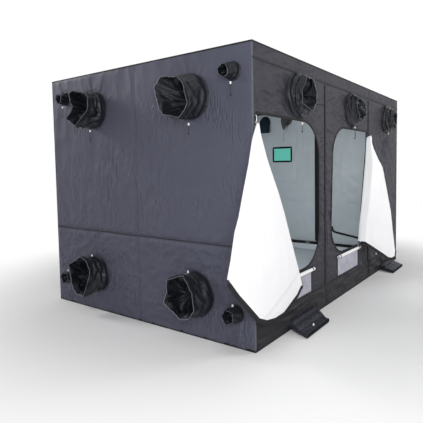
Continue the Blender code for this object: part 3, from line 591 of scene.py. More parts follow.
# The pale hem rim is a painted highlight: the dark sleeve cloth turned over the hem, painted light where its edge
# catches the lamps.
highlight_rim_tape = ribbed_tape("highlight_rim_tape", "#5e5e69", "#787883")
stitch_thread = ribbed_tape("stitch_thread", "#2a2a30", "#3a3a42")
zip_coil = moulded_plastic("zip_coil", "#0f0f11", 0.38, 4, 0.0003)
lock_plastic = moulded_plastic("lock_plastic", "#f4f4f2", 0.32, 6, 0.0002)
steel_coat = powder_coated_steel()
zinc_plate = plated_zinc()
cord_braid = braided_cord()
net_knit = vent_mesh()
window_film = tinted_film()
tray_coat = tray_sheet()


# ---- drawcords: locks, free ends and knots

lock_radius = 0.009
lock_length = 0.026
tail_gap = 0.0004


class Port:
    """A round port with the sleeve that stands out of it, as the CAD has it."""

    def __init__(self, wall, along, up, radius, length, mouth, rise, pleats):
        self.wall, self.along, self.up, self.radius = wall, along, up, radius
        self.length, self.mouth, self.rise, self.pleats = length, mouth, rise, pleats

    def lock_ends(self, share, turn):
        """Where the CAD's barrel lock starts and ends on the sleeve."""
        side = math.copysign(1.0, self.rise)
        angle = side * math.pi / 2 - turn
        size = self.radius * (1 + (self.mouth - 1) * share) + 0.006 * share * math.cos(self.pleats * angle)
        up = self.up + self.rise * share * share + size * math.sin(angle)
        out = gap + 0.008 + (self.length - 0.008) * share
        seat = on_wall(self.wall, self.along + size * math.cos(angle), out, up)
        start = seat + Vector((0.0, 0.0, side * (cloth / 2 - 0.0012)))
        return start, start + Vector((0.0, 0.0, side * lock_length))


ports = {}
for size_word, radius, length, rise, pleats, alongs, levels in (
    ("large", 0.18, 0.19, 0.025, 9, (0.55, 1.73), (1.866, 0.345)),
    ("small", 0.062, 0.10, 0.0125, 6, (0.163, 2.175), (2.009, 0.26)),
):
    for level, up, way in (("top", levels[0], -1.0), ("low", levels[1], 1.0)):
        for end, along in zip(("front", "back"), alongs):
            port_name = f"{size_word}_sleeve_{level}_{end}"
            ports[port_name] = Port("left", along, up, radius, length, 0.93, way * rise, pleats)
for word, along in (("left", 0.67), ("middle", 1.87), ("right", 3.07)):
    ports["front_sleeve_" + word] = Port("front", along, 1.90, 0.18, 0.11, 0.75, -0.003, 9)

# How far each barrel lock has slid down its drawcord from the sleeve.
lock_slides = {
    "large_sleeve_top_front": 0.030, "large_sleeve_top_back": 0.014, "small_sleeve_top_front": 0.018,
    "small_sleeve_top_back": 0.014, "front_sleeve_left": 0.045,
}
# Where each large sleeve is really sewn: shift along the wall, and radius.
port_seats = {
    "large_sleeve_top_front": (0.012, 0.168), "large_sleeve_top_back": (0.012, 0.166),
    "large_sleeve_low_back": (0.036, 0.155), "large_sleeve_low_front": (0.004, 0.174),
}
for port_name, port in ports.items():
    shift, seat_radius = port_seats.get(port_name, (0.0, port.radius))
    port.seat = (port.along + shift, port.up, seat_radius)


def port_hole(name, count=64):
    along, up, radius = ports[name].seat
    return circle(along, up, radius - 0.004, count)


def knot_line(turn):
    """The middle line of an overhand knot: a small trefoil."""
    return 0.0021 * Vector((
        math.sin(turn) + 2 * math.sin(2 * turn), math.cos(turn) - 2 * math.cos(2 * turn), -1.4 * math.sin(3 * turn),
    ))


def make_knot(name, place):
    """The overhand knot at the end of a drawcord, of the same cord."""
    rows = []
    count, sides = 36, 8
    for t in turns(count):
        ahead = (knot_line(t + 0.01) - knot_line(t - 0.01)).normalized()
        across = (across - ahead * across.dot(ahead)).normalized() if rows else ahead.orthogonal().normalized()
        other = ahead.cross(across)
        ring = []
        for a in turns(sides):
            offset = (across * math.cos(a) + other * math.sin(a)) * cord_diameter * 0.42
            ring.append(Vector(place) + Vector((0.0, 0.0, -0.003)) + knot_line(t) + offset)
        rows.append(ring)
    verts, faces = grid_sheet(rows, closed=True)
    start = (count - 1) * sides
    twist = min(
        range(sides), key=lambda shift: sum(
            (verts[start + k] - verts[(k + shift) % sides]).length for k in range(sides)
        ),
    )
    for k in range(sides):
        n = (k + 1) % sides
        faces.append([start + k, start + n, (n + twist) % sides, (k + twist) % sides])
    return add_piece(name, verts, faces, [cord_braid], "tent", "cord")


def make_tail(node, start, length, sway_by):
    """A drawcord's free end, on the CAD's own route, with a knot in its end."""
    count = math.ceil(length / (3 * cord_diameter))
    curve = bpy.data.curves.new(node, "CURVE")
    curve.dimensions = "3D"
    curve.bevel_depth = cord_diameter / 2
    curve.bevel_resolution = 2
    curve.use_fill_caps = True
    spline = curve.splines.new("POLY")
    spline.points.add(count)
    route = []
    for i in range(count + 1):
        step = i / count
        point = start + Vector((0.0, 0.0, -length)) * step + Vector(sway_by) * math.sin(step * math.pi) * step
        spline.points[i].co = (*point, 1.0)
        route.append(point)
    curve.materials.append(cord_braid)
    tail = into_scene("free_" + node, curve)
    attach(tail, "tent")
    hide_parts(node)
    knot = make_knot("knot_" + node, route[-1])


def lock_shape(start, end):
    """A barrel lock: a ribbed sleeve with a sprung button standing out of one end."""
    way = (Vector(end) - Vector(start)).normalized()
    r = lock_radius
    barrel = [
        (0.0, r * 0.55), (0.0008, r * 0.80), (0.002, r * 0.95), (0.0045, r), (0.008, r), (0.0086, r * 0.93),
        (0.0098, r * 0.93), (0.0104, r), (0.0135, r), (0.0141, r * 0.93), (0.0153, r * 0.93), (0.0159, r),
        (0.0185, r * 0.97), (0.0195, r * 0.82), (0.0198, r * 0.62), (0.0198, r * 0.60), (0.0235, r * 0.60),
        (0.0252, r * 0.52), (0.026, r * 0.30), (0.026, r * 0.05),
    ]
    return lathe_shape(Vector(start) + way * 0.003, way, [(d * 0.77, radius * 0.82) for d, radius in barrel], 20)


below = Vector((0.0, 0.0, -tail_gap))
lock_turn = math.radians(13.0)
locks = {}
for port_name, port in ports.items():
    turn = lock_turn if port.wall == "left" and port.rise < 0 else 0.0
    locks[port_name] = port.lock_ends(0.45 if port.wall == "left" else 0.30, turn)
for port_name, port in ports.items():
    if port.wall == "left" and port.rise < 0:
        make_tail(port_name.replace("sleeve", "cord_tail"), locks[port_name][1] + below, 0.085, (0.0, 0.008, 0.0))
make_tail("front_cord_tail_left", locks["front_sleeve_left"][1] + below, 0.095, (0.004, 0.0, 0.0))
for number, side in ((1, -1.0), (2, 1.0)):
    tail_start = locks["front_sleeve_middle"][1] + below + Vector((side * 0.0045, 0.0, 0.0))
    make_tail(f"front_cord_tail_middle_{number}", tail_start, 0.095, (side * 0.010, -0.008, 0.0))
inner_lock_top = on_wall("right", 1.735, -(skin + 0.008 + 0.09), 2.02 - 0.13 + lock_radius)
inner_lock_end = inner_lock_top - Vector((0.0, 0.0, lock_length))
make_tail("inner_cord_tail", inner_lock_end + below, 0.14, (0.0, 0.010, 0.0))


# ---- rows of stitches and zip teeth

def row_tree():
    """Geometry nodes: small rounded bars set along a line at an even spacing, turned to face outwards."""
    tree = bpy.data.node_groups.new("bars_along_a_line", "GeometryNodeTree")
    tree.interface.new_socket("Line", in_out="INPUT", socket_type="NodeSocketGeometry")
    sizes = {"Spacing": 0.006, "Bar Length": 0.004, "Bar Width": 0.001, "Bar Height": 0.0008, "Unevenness": 0.15}
    for name, value in sizes.items():
        tree.interface.new_socket(name, in_out="INPUT", socket_type="NodeSocketFloat").default_value = value
    tree.interface.new_socket("Finish", in_out="INPUT", socket_type="NodeSocketMaterial")
    tree.interface.new_socket("Bars", in_out="OUTPUT", socket_type="NodeSocketGeometry")
    given = add_node(tree, "NodeGroupInput").outputs
    curve = add_node(tree, "GeometryNodeMeshToCurve", {"Mesh": given["Line"]})
    spaced = add_node(
        tree, "GeometryNodeResampleCurve", {"Curve": curve.outputs["Curve"], "Length": given["Spacing"]},
        mode="LENGTH",
    )
    tangent = add_node(tree, "GeometryNodeInputTangent")
    facing = add_node(tree, "GeometryNodeInputNamedAttribute", {"Name": "facing"}, data_type="FLOAT_VECTOR")
    along = add_node(tree, "FunctionNodeAlignRotationToVector", {"Vector": tangent.outputs[0]}, axis="X")
    outward = add_node(
        tree, "FunctionNodeAlignRotationToVector",
        {"Rotation": along.outputs[0], "Vector": facing.outputs["Attribute"]}, axis="Z", pivot_axis="X",
    )
    bar = add_node(tree, "GeometryNodeMeshUVSphere", {"Segments": 6, "Rings": 4, "Radius": 0.5})
    spread = add_node(tree, "FunctionNodeRandomValue", {"Min": 0.0, "Max": 1.0, "Seed": 7}, data_type="FLOAT")
    lowest = add_node(tree, "ShaderNodeMath", {0: 1.0, 1: given["Unevenness"]}, operation="SUBTRACT")
    tree.links.new(lowest.outputs[0], spread.inputs[2])
    size = add_node(
        tree, "ShaderNodeCombineXYZ",
        {"X": given["Bar Length"], "Y": given["Bar Width"], "Z": given["Bar Height"]},
    )
    scaled = add_node(
        tree, "ShaderNodeVectorMath", {0: size.outputs[0], "Scale": spread.outputs[1]}, operation="SCALE"
    )
    placed = add_node(
        tree, "GeometryNodeInstanceOnPoints",
        {"Points": spaced.outputs["Curve"], "Instance": bar.outputs["Mesh"], "Rotation": outward.outputs[0],
         "Scale": scaled.outputs[0]},
    )
    real = add_node(tree, "GeometryNodeRealizeInstances", {"Geometry": placed.outputs["Instances"]})
    finish = add_node(
        tree, "GeometryNodeSetMaterial", {"Geometry": real.outputs["Geometry"], "Material": given["Finish"]}
    )
    add_node(tree, "NodeGroupOutput", {"Bars": finish.outputs["Geometry"]})
    return tree


bars_along_a_line = row_tree()


def make_row(name, paths, spacing, size, finish, body):
    """One mesh of bars along several paths. A path is its points and the way that its bars face."""
    verts, edges, facings = [], [], []
    for points, facing in paths:
        start = len(verts)
        verts += [tuple(p) for p in points]
        edges += [(start + i, start + i + 1) for i in range(len(points) - 1)]
        facings += list(Vector(facing).normalized()) * len(points)
    mesh = bpy.data.meshes.new(name + "_path")
    mesh.from_pydata(verts, edges, [])
    mesh.attributes.new("facing", "FLOAT_VECTOR", "POINT").data.foreach_set("vector", facings)
    item = into_scene(name, mesh)
    modifier = item.modifiers.new("bars", "NODES")
    modifier.node_group = bars_along_a_line
    values = {"Spacing": spacing, "Bar Length": size[0], "Bar Width": size[1], "Bar Height": size[2], "Finish": finish}
    for socket in bars_along_a_line.interface.items_tree:
        if socket.in_out == "INPUT" and socket.name in values:
            modifier[socket.identifier] = values[socket.name]
    evaluated = item.evaluated_get(bpy.context.evaluated_depsgraph_get())
    made = bpy.data.meshes.new_from_object(evaluated)
    item.modifiers.remove(modifier)
    item.data = made
    made.shade_smooth()
    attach(item, body)
    return item


# Stitches are 3 mm long and 1 mm thick; they are drawn 7 mm long so that a row shows.
stitch_spacing = 0.011
stitch_size = (0.0075, 0.0018, 0.0014)
# A number 10 coil has a tooth every 1.8 mm, drawn every 6 mm.
tooth_spacing = 0.006
tooth_size = (0.0042, 0.0085, 0.0034)


# ---- cloth skin

door_bottom, door_top, door_corner = 0.46, 1.70, 0.30
door_hinge, door_free = 0.05, 1.06
vent_low, vent_high, vent_bottom, vent_top = 0.33, 0.905, 0.22, 0.405
window_ends = (1.658, 1.980, 1.406, 1.616)
foot_places = (0.74, 3.09)
foot_slot_up = 0.037


def door_outline(hinge, free, bottom, top, radius, steps=14):
    """A door that is square at its sewn side and round at its two free corners."""
    side = math.copysign(1.0, free - hinge)
    centre = free - side * radius
    outline = [(hinge, top)]
    for middle, first_angle in ((top - radius, math.pi / 2), (bottom + radius, 0.0)):
        for i in range(steps + 1):
            angle = first_angle - math.pi / 2 * i / steps
            outline.append((centre + side * radius * math.cos(angle), middle + radius * math.sin(angle)))
    outline.append((hinge, bottom))
    return outline


def stadium(along, up, width, height, count):
    """A flat oval slot."""
    radius = height / 2
    half = width / 2 - radius
    points = []
    for i in range(count):
        angle = 2 * math.pi * (i + 0.5) / count
        shift = half if math.cos(angle) > 0 else -half
        points.append((along + shift + radius * math.cos(angle), up + radius * math.sin(angle)))
    return points


def port_puckers(wall, along, up):
    """Short gathers in the cloth round each sewn port."""
    total = 0.0
    for port in ports.values():
        if port.wall != wall:
            continue
        reach = math.hypot(along - port.along, up - port.up)
        beyond = reach - port.radius
        if 0 < beyond < 0.3:
            turn = math.atan2(up - port.up, along - port.along)
            wave = math.cos(turn * 19 + 4 * swell(math.cos(turn) * 2, math.sin(turn) * 2, reach * 3))
            total += 0.0028 * wave * math.exp(-beyond / 0.05)
    return total


def seam_hold(distance, reach=0.035):
    """How far the cloth is free to move off its seam: nothing on it, all of it a little way off."""
    return smooth_step((abs(distance) - 0.008) / reach)


def left_relief(along, up):
    """The left wall hangs slack: upright folds in its middle, slanting ones above, crumples at the foot."""
    out = 0.004 * sway(along, up, 1.0, 0.55)
    upper = smooth_step((up - 0.76) / 0.2)
    bent = along + 0.05 * sway(along, up, 5.0, 0.30)
    middle = smooth_step((1.95 - up) / 0.6) * smooth_step((1.9 - along) / 0.4) * smooth_step((along - 0.5) / 0.5)
    out += 0.0080 * upper * middle * crest(bent, up, 7.0, 0.050, 0.20)
    out += 0.0060 * upper * crest(along + 0.28 * up, up, 11.0, 0.16, 1.0) * smooth_step((along - 1.4) / 0.4)
    out += 0.0055 * upper * crest(along - 0.5 * up, up + 0.3 * along, 13.0, 0.15, 0.26)
    foot = 1 - upper
    out += 0.0090 * foot * crest(along, up, 17.0, 0.15, 0.10)
    out += 0.0062 * foot * crest(along + 0.5 * up, up, 18.0, 0.06, 0.05)
    seam = math.exp(-abs(up - level_seam) / 0.06)
    out += 0.0030 * seam * math.cos(along * 2 * math.pi / 0.060 + 3 * sway(along, 0.0, 19.0, 0.2))
    out *= seam_hold(up - level_seam, 0.02) * seam_hold(along - bay_length, 0.015)
    return out + port_puckers("left", along, up)


def front_relief(along, up):
    """The front wall is crumpled all over, most round the ports and where a sleeve's cord pulls."""
    out = 0.0040 * sway(along, up, 31.0, 0.4)
    out += 0.0100 * (crest(along + 0.9 * up, up, 33.0, 0.34, 0.13) - 0.5)
    out += 0.0060 * (crest(along - 1.3 * up, up, 37.0, 0.18, 0.075) - 0.5)
    for pull_along, pull_up in ((0.62, 1.70), (1.87, 1.70), (3.07, 1.70)):
        reach = math.hypot(along - pull_along, up - pull_up)
        turn = math.atan2(up - pull_up, along - pull_along)
        rays = crest(turn * 1.2, reach, 41.0 + pull_along, 0.40, 0.9) - 0.5
        out += 0.0340 * math.exp(-reach / 0.28) * smooth_step(reach / 0.08) * rays
    band = math.exp(-abs(up - band_seam) / 0.04)
    out += 0.0020 * band * math.cos(along * 2 * math.pi / 0.07 + 3 * sway(along, 0.0, 43.0, 0.2))
    foot = smooth_step((0.23 - up) / 0.04)
    out += 0.0070 * foot * crest(along + 0.4 * up, up, 47.0, 0.60, 0.055)
    held = seam_hold(up - band_seam) * seam_hold(along - bay_length) * seam_hold(along - 2 * bay_length)
    if 0.90 < along < 1.51:
        held *= seam_hold(up - foot_seam)
    if 1.0 < along < 1.2:
        held *= seam_hold(up - 1.88)
    return out * held + port_puckers("front", along, up)


def plain_relief(seed, rest=0.0):
    """A wall with only slack and soft upright folds, held along its seams."""
    def relief(along, up):
        out = rest + 0.005 * sway(along, up, seed, 0.6)
        out += 0.0040 * crest(along + 0.2 * up, up, seed + 3, 0.14, 0.6)
        out += 0.0030 * crest(along, up, seed + 7, 0.12, 0.18)
        past_seam = along % bay_length
        upright = past_seam if past_seam < bay_length / 2 else bay_length - past_seam
        return out * (seam_hold(up - level_seam) * seam_hold(upright))
    return relief


cover_dip = 0.0050
window_border_reach = 0.03
right_slack = plain_relief(61.0, -0.005)


def right_relief(along, up):
    """The right wall sags inwards, most behind the window's outer cover."""
    out = right_slack(along, up)
    low, high, bottom, top = window_ends
    cover_foot = 2 * bottom - top - 3 * window_border_reach
    beside = max(low - window_border_reach - along, along - high - window_border_reach, cover_foot - up, 0.0)
    if up < bottom:
        held = smooth_step(beside / 0.06)
        out = -0.0078 * (1 - held) + min(out, 0.0) * held
    return out


outward_of = {"front": (0, -1, 0), "back": (0, 1, 0), "left": (-1, 0, 0), "right": (1, 0, 0)}


def set_on_wall(wall, outline, cell, out_at):
    """A cut of cloth on a wall; out_at gives how far out it stands, from along, up and distance to its edge."""
    flat, distance, faces = cut_cloth(outline, [], cell)
    verts = [on_wall(wall, a, out_at(a, u, reach), u) for (a, u), reach in zip(flat, distance)]
    return verts, turned_outwards(verts, faces, outward_of[wall])


def loop_area(loop):
    return abs(sum((loop[i][0] * loop[i - 1][1] - loop[i - 1][0] * loop[i][1]) for i in range(len(loop)))) / 2


def make_wall(name, wall, outline, holes, cell, relief, fabric, slot, edge=0.03, highest=0.018):
    """One sewn panel: a fine slack sheet, its reflective lining on the inside."""
    flat, distance, faces = cut_cloth(outline, holes, cell)
    verts = []
    for (along, up), reach in zip(flat, distance):
        out = relief(along, up) * smooth_step(reach / edge)
        verts.append(on_wall(wall, along, max(-0.012, min(highest, out)), up))
    faces = turned_outwards(verts, faces, outward_of[wall])
    middles = flat[np.array(faces)].mean(1)
    kinds = [2 if wall == "front" and middle[1] < foot_seam - 0.001 else 0 for middle in middles]
    fabrics = [fabric, shade_greyed_wall_lining, foot_oxford, shade_greyed_wall_lining]
    panel = add_piece(name, verts, faces, fabrics, "tent", slot, [name.removesuffix("_cloth")], kinds)
    thicken(panel, cloth, -1.0, 1)
    area = loop_area(outline)
    for hole in holes:
        area -= loop_area(hole)


def door_side(bay, along, mirrored):
    return bay * bay_length + (bay_length - along if mirrored else along)


def doorway(bay, mirrored, grow=0.0):
    hinge = door_side(bay, door_hinge - grow, mirrored)
    free = door_side(bay, door_free + grow, mirrored)
    outline = door_outline(hinge, free, door_bottom - grow, door_top + grow, door_corner + grow)
    if mirrored:
        # The cloth of the middle post is pulled towards this door near the top.
        outline = [(a + 0.038 * smooth_step((u - 0.6) / 0.8) * (hinge - a) / (hinge - free), u) for a, u in outline]
    return outline


def vent_ends(bay, mirrored):
    return sorted((door_side(bay, vent_low, mirrored), door_side(bay, vent_high, mirrored)))


# Ports of the two sleeves inside the right wall, as along, up and radius.
gathered_seat = (1.732, 2.075, 0.102)
open_seat = (2.125, 2.060, 0.085)


def make_skin():
    """All the wall panels; the roof and the ground sheet are laid separately."""
    for bay, name in enumerate(("front_panel_left", "front_panel_middle", "front_panel_right")):
        low = bay * bay_length + (gap / 2 if bay else 0.0)
        high = (bay + 1) * bay_length - (gap / 2 if bay < 2 else 0.0)
        holes = [port_hole("front_sleeve_" + name.removeprefix("front_panel_"))]
        if bay < 2:
            ends = vent_ends(bay, bay == 1)
            holes += [doorway(bay, bay == 1), rectangle(*ends, vent_bottom, vent_top)]
        for place in foot_places:
            if low < place < high:
                holes.append(stadium(place, foot_slot_up, 0.472, 0.054, 32))
        outline = rectangle(low, high, 0.0, wall_top)
        make_wall(name + "_cloth", "front", outline, holes, 0.012, front_relief, shade_darkened_front_oxford, "front_cloth", 0.05)
    for name, low, high in (
        ("left_wall_front", skin, bay_length - gap / 2),
        ("left_wall_back", bay_length + gap / 2, tent_depth - cloth - gap),
    ):
        end = name.removeprefix("left_wall_")
        holes = [port_hole(f"large_sleeve_{level}_{end}") for level in ("top", "low")]
        holes += [port_hole(f"small_sleeve_{level}_{end}", 40) for level in ("top", "low")]
        outline = rectangle(low, high, 0.0, wall_top)
        make_wall(name + "_cloth", "left", outline, holes, 0.012, left_relief, wall_oxford, "wall_cloth")
    holes = [rectangle(*window_ends), circle(*gathered_seat[:2], gathered_seat[2] - 0.004, 48),
             circle(*open_seat[:2], open_seat[2] - 0.004, 40)]
    outline = rectangle(skin, tent_depth - skin, 0.0, wall_top)
    make_wall(
        "right_wall_cloth", "right", outline, holes, 0.018, right_relief, wall_oxford, "wall_cloth", 0.06, 0.0
    )
    outline = rectangle(0.0, tent_length, 0.0, wall_top)
    make_wall("back_wall_cloth", "back", outline, [], 0.024, plain_relief(71.0), wall_oxford, "wall_cloth")


def make_level_sheet(name, node, half_x, half_y, up, cell, relief, fabrics, slot, thickness):
    """A sheet that lies level, its top side given."""
    flat, distance, faces = cut_cloth(rectangle(-half_x, half_x, -half_y, half_y), [], cell)
    verts = [
        Vector((x, y, up + relief(x, y) * smooth_step(reach / 0.06))) for (x, y), reach in zip(flat, distance)
    ]
    faces = turned_outwards(verts, faces, (0, 0, 1))
    item = add_piece(name, verts, faces, fabrics, "tent", slot, [node])
    thicken(item, thickness, -1.0, len(fabrics) - 1)


def roof_relief(x, y):
    """The roof sags a little between its bars."""
    sag = -0.006 * math.cos(x * math.pi / bay_length) ** 2 * math.cos(y * math.pi / tent_depth)
    return sag + 0.003 * crest(x, y, 81.0, 0.2, 0.3) - 0.002


# ---- duct sleeves

# Corners of each hem as (along, up) from the port's centre, in order round the mouth.
mouths = {
    "large_sleeve_top_front": [
        (.146, .140), (-.032, .119), (-.075, .073), (-.109, -.003), (-.125, -.072), (-.096, -.130), (-.034, -.179),
        (.141, -.138), (.175, -.093), (.204, .075),
    ],
    "large_sleeve_top_back": [
        (.065, .160), (-.127, .125), (-.167, .074), (-.141, -.038), (.033, -.167), (.153, -.087), (.065, .020),
        (.120, .143),
    ],
    "large_sleeve_low_front": [
        (.127, .135), (.010, .176), (-.047, .194), (-.126, .075), (-.139, -.063), (-.079, -.132), (-.001, -.147),
        (.131, -.077), (.171, -.049), (.131, .040),
    ],
    "large_sleeve_low_back": [
        (.208, .103), (.030, .197), (-.054, .163), (-.100, .091), (-.090, .011), (.015, -.170), (.123, -.162),
        (.180, -.075), (.205, .037),
    ],
    "small_sleeve_top_front": [
        (.017, .042), (-.007, .027), (-.029, -.006), (-.022, -.039), (.006, -.059), (.031, -.043), (.054, -.027),
        (.061, .009), (.038, .023),
    ],
    "small_sleeve_low_front": [
        (.037, .045), (.070, -.008), (.027, -.061), (-.036, -.036), (-.035, .032), (.012, .047),
    ],
    "small_sleeve_top_back": [
        (.006, .030), (-.037, .022), (-.070, .013), (-.067, -.043), (-.034, -.060), (.020, -.018),
    ],
    "small_sleeve_low_back": [(.038, .046), (-.065, .062), (-.077, -.009), (.010, -.047), (.050, .004)],
    "front_sleeve_left": [
        (-.066, .138), (.058, .139), (.111, .057), (.127, -.029), (.095, -.070), (.059, -.127), (-.122, -.087),
        (-.143, -.054), (-.145, .012), (-.091, .084),
    ],
    "front_sleeve_middle": [
        (-.121, .122), (.004, .110), (.124, .067), (.141, -.049), (.062, -.109), (-.045, -.102), (-.076, -.058),
        (-.128, -.001),
    ],
    "front_sleeve_right": [
        (-.095, .115), (.040, .128), (.118, .070), (.110, -.060), (.030, -.125), (-.080, -.105), (-.130, -.010),
    ],
}


def hem_ring(corners, count):
    """Points round a hem, with the angle on the round port that each one comes from."""
    middle = Vector((sum(a for a, _ in corners) / len(corners), sum(u for _, u in corners) / len(corners)))
    around = [Vector(c) for c in corners]
    if (around[1] - around[0]).cross(around[2] - around[1]) < 0:
        around.reverse()
    lengths = [(around[(i + 1) % len(around)] - around[i]).length for i in range(len(around))]
    total = sum(lengths)
    first = math.atan2(around[0].y - middle.y, around[0].x - middle.x)
    ring = []
    for i in range(count):
        target = total * i / count
        k = 0
        while target > lengths[k]:
            target -= lengths[k]
            k += 1
        point = around[k].lerp(around[(k + 1) % len(around)], target / lengths[k])
        ring.append((point, first + 2 * math.pi * i / count))
    return ring


def sleeve_wall(port, ring, seed):
    """Rows of a duct sleeve from its sewn flange to the hem: along and up from the port's centre, and out."""
    big = port.radius > 0.1
    crease = 0.017 if big else 0.007
    seat = Vector((port.seat[0] - port.along, port.seat[1] - port.up))
    seat_radius = port.seat[2]
    rows = []
    for size, out in ((0.012 if big else 0.008, 0.0006), (0.004, 0.0018)):
        size += seat_radius
        rows.append([(seat.x + size * math.cos(t), seat.y + size * math.sin(t), out) for _, t in ring])
    steps = 26 if big else 12
    for i in range(steps + 1):
        share = i / steps
        lean = smooth_step(share * 0.9 + 0.1 * share * share)
        row = []
        for point, t in ring:
            way = Vector((math.cos(t), math.sin(t)))
            spot = (seat + way * seat_radius).lerp(point, lean)
            hoops = ridge(way.x * 1.1, way.y * 1.1, share * 3.4 + seed)
            folds = ridge(way.x * 2.6, way.y * 2.6, share * 1.4 + seed + 3)
            depth = crease * math.sin(math.pi * min(1.0, share * 0.96)) ** 0.6
            spot = spot + way * depth * (1.1 * (hoops - 0.55) + 0.6 * (folds - 0.55))
            cinch = math.exp(-((share - 0.45) / 0.06) ** 2)
            spot = spot - way * 0.005 * cinch * (1 + 0.6 * math.cos(t * 26 + seed))
            frayed = swell(way.x * 5, way.y * 5, seed + 7) * share ** 4
            spot = spot + way * 0.005 * frayed * (port.radius / 0.18)
            wobble = 0.012 * swell(way.x * 2.4, way.y * 2.4, seed + 5) * share
            row.append((spot.x, spot.y, port.length * share + wobble + 0.004 * frayed + 0.002))
        rows.append(row)
    return rows


def sleeve_hem(rim, middle):
    """Rows of the bound hem that turns over the rim."""
    return [
        [(middle.x + (a - middle.x) * shrink, middle.y + (u - middle.y) * shrink, out + forward) for a, u, out in rim]
        for shrink, forward in ((0.996, 0.0022), (0.985, 0.0030), (0.974, 0.0012), (0.968, -0.004))
    ]


# The inner sleeve narrows as it goes in: how wide it still is, and how far in, both as shares.
inner_narrowing = (
    (0.96, 0.10), (0.94, 0.22), (0.90, 0.34), (0.84, 0.46), (0.75, 0.57), (0.64, 0.66), (0.52, 0.74), (0.40, 0.80),
    (0.28, 0.85), (0.17, 0.88), (0.08, 0.90), (0.015, 0.91),
)


def inner_sleeve(port, rim, ring, middle, seed):
    """Rows of the inner sleeve, drawn shut and slumped inside the outer one."""
    depth = port.length - 0.012
    slump = Vector((swell(seed, 1, 0), swell(seed, 5, 0))) * port.radius * 0.7
    rows = []
    for shrink, inwards in inner_narrowing:
        row = []
        amount = math.sin(math.pi * min(1.0, inwards * 1.02)) ** 0.7
        for (a, u, out), (_, t) in zip(rim, ring):
            way = Vector((math.cos(t), math.sin(t)))
            fold = ridge(way.x * 1.15, way.y * 1.15, inwards * 1.1 + seed + 9)
            fine = ridge(way.x * 2.4, way.y * 2.4, inwards * 1.6 + seed + 5)
            size = shrink * (1 - 0.44 * amount * (fold - 0.35) - 0.10 * amount * (fine - 0.5))
            heave = swell(way.x * 1.4, way.y * 1.4, inwards * 1.8 + seed)
            push = 0.060 * (port.length / 0.19) * amount * heave
            drift = slump * smooth_step(inwards * 1.1)
            row.append((
                middle.x + drift.x + (a - middle.x) * size, middle.y + drift.y + (u - middle.y) * size,
                max(0.012, min(out - 0.004, out - depth * inwards + push)),
            ))
        rows.append(row)
    return rows


def add_lock(name, start, end):
    return add_piece(name + "_lock", *lock_shape(start, end), [lock_plastic], "tent", "sleeve_cloth", sharp=35)


def make_duct_sleeve(name, seed):
    """A cloth sleeve from a round port to a crumpled hem, and its inner sleeve fallen shut inside it."""
    port = ports[name]
    count = 132 if port.radius > 0.1 else 72
    ring = hem_ring(mouths[name], count)
    middle = Vector((0.0, 0.0))
    for point, _ in ring:
        middle += point / count
    outer = sleeve_wall(port, ring, seed)
    hem = sleeve_hem(outer[-1], middle)
    inner = inner_sleeve(port, outer[-1], ring, middle, seed)
    rows = [
        [on_wall(port.wall, port.along + a, out, port.up + u) for a, u, out in row] for row in outer + hem + inner
    ]
    verts, faces = grid_sheet(rows, closed=True)
    # Kind 2, the inner sleeve and its closed end, takes the darker cloth: painted shade inside the mouth.
    kinds = [0] * (len(outer) - 1) * count + [1] * len(hem) * count + [2] * len(inner) * count
    last = len(verts) - count
    verts.append(sum((verts[last + i] for i in range(count)), Vector()) / count)
    for i in range(count):
        faces.append([last + i, last + (i + 1) % count, len(verts) - 1])
        kinds.append(2)
    pick = count * 6 + count // 4
    centre = on_wall(port.wall, port.along, port.length / 2, port.up)
    faces = turned_to(verts, faces, pick, verts[faces[pick][0]] - centre)
    # The hem's kind 1 takes the pale rim tape, a painted highlight.
    fabrics = [sleeve_oxford, highlight_rim_tape, sleeve_inside]
    sleeve = add_piece(name + "_cloth", verts, faces, fabrics, "tent", "sleeve_cloth", [name], kinds)
    thicken(sleeve, sleeve_cloth, -1.0)
    start, end = locks[name]
    slide = Vector((0.0, 0.0, -lock_slides.get(name, 0.0)))
    pieces = [add_lock(name, start + slide, end + slide)]
    if slide.length:
        cord = lathe_shape(start, slide.normalized(), [(0.0, cord_diameter / 2), (slide.length, cord_diameter / 2)], 10)
        pieces.append(add_piece(name + "_drawcord", *cord, [cord_braid], "tent", "cord"))


def make_hanging_sleeve(name, seat, mouth, pleats, fabric, seed):
    """A cloth sleeve inside the right wall that hangs down under its own weight.

    seat is along, up and radius on the wall; mouth is along, inward, up and radius of the hanging end.
    """
    along, up, radius = seat
    end_along, reach, end_up, end_radius = mouth
    drawn_shut = end_radius < 0.02
    rows = []
    count, steps = 72, 28
    ways = [0.0] + [0.02 + 0.98 * i / steps for i in range(steps + 1)]
    for i, step in enumerate(ways):
        turn = math.pi / 2 * smooth_step(step * 1.6)
        row = []
        for angle in turns(count):
            size = radius + (end_radius - radius) * step
            pleat = 0.5 + 0.5 * math.cos(angle * pleats + 2 * swell(step * 2, seed, 0.0))
            size *= 1 - 0.15 * step * pleat * (1.6 if drawn_shut else 0.6)
            inward = skin + (0.002 if i == 0 else 0.005)
            inward += reach * math.sin(step * math.pi / 2) + size * math.sin(angle) * math.sin(turn) * 0.8
            height = up + (end_up - up) * (1 - math.cos(step * math.pi / 2)) + size * math.sin(angle) * math.cos(turn)
            shift = along + (end_along - along) * step
            row.append(on_wall("right", shift + size * math.cos(angle), -max(inward, skin + 0.002), height))
        rows.append(row)
    verts, faces = grid_sheet(rows, closed=True)
    pick = count * 3
    faces = turned_to(verts, faces, pick, verts[faces[pick][0]] - on_wall("right", along, -0.02, up))
    sleeve = add_piece(name + "_cloth", verts, faces, [fabric], "tent", "sleeve_cloth", [name])
    thicken(sleeve, sleeve_cloth, 0.0)
    pieces = [add_lock(name, inner_lock_top, inner_lock_end)] if drawn_shut else []


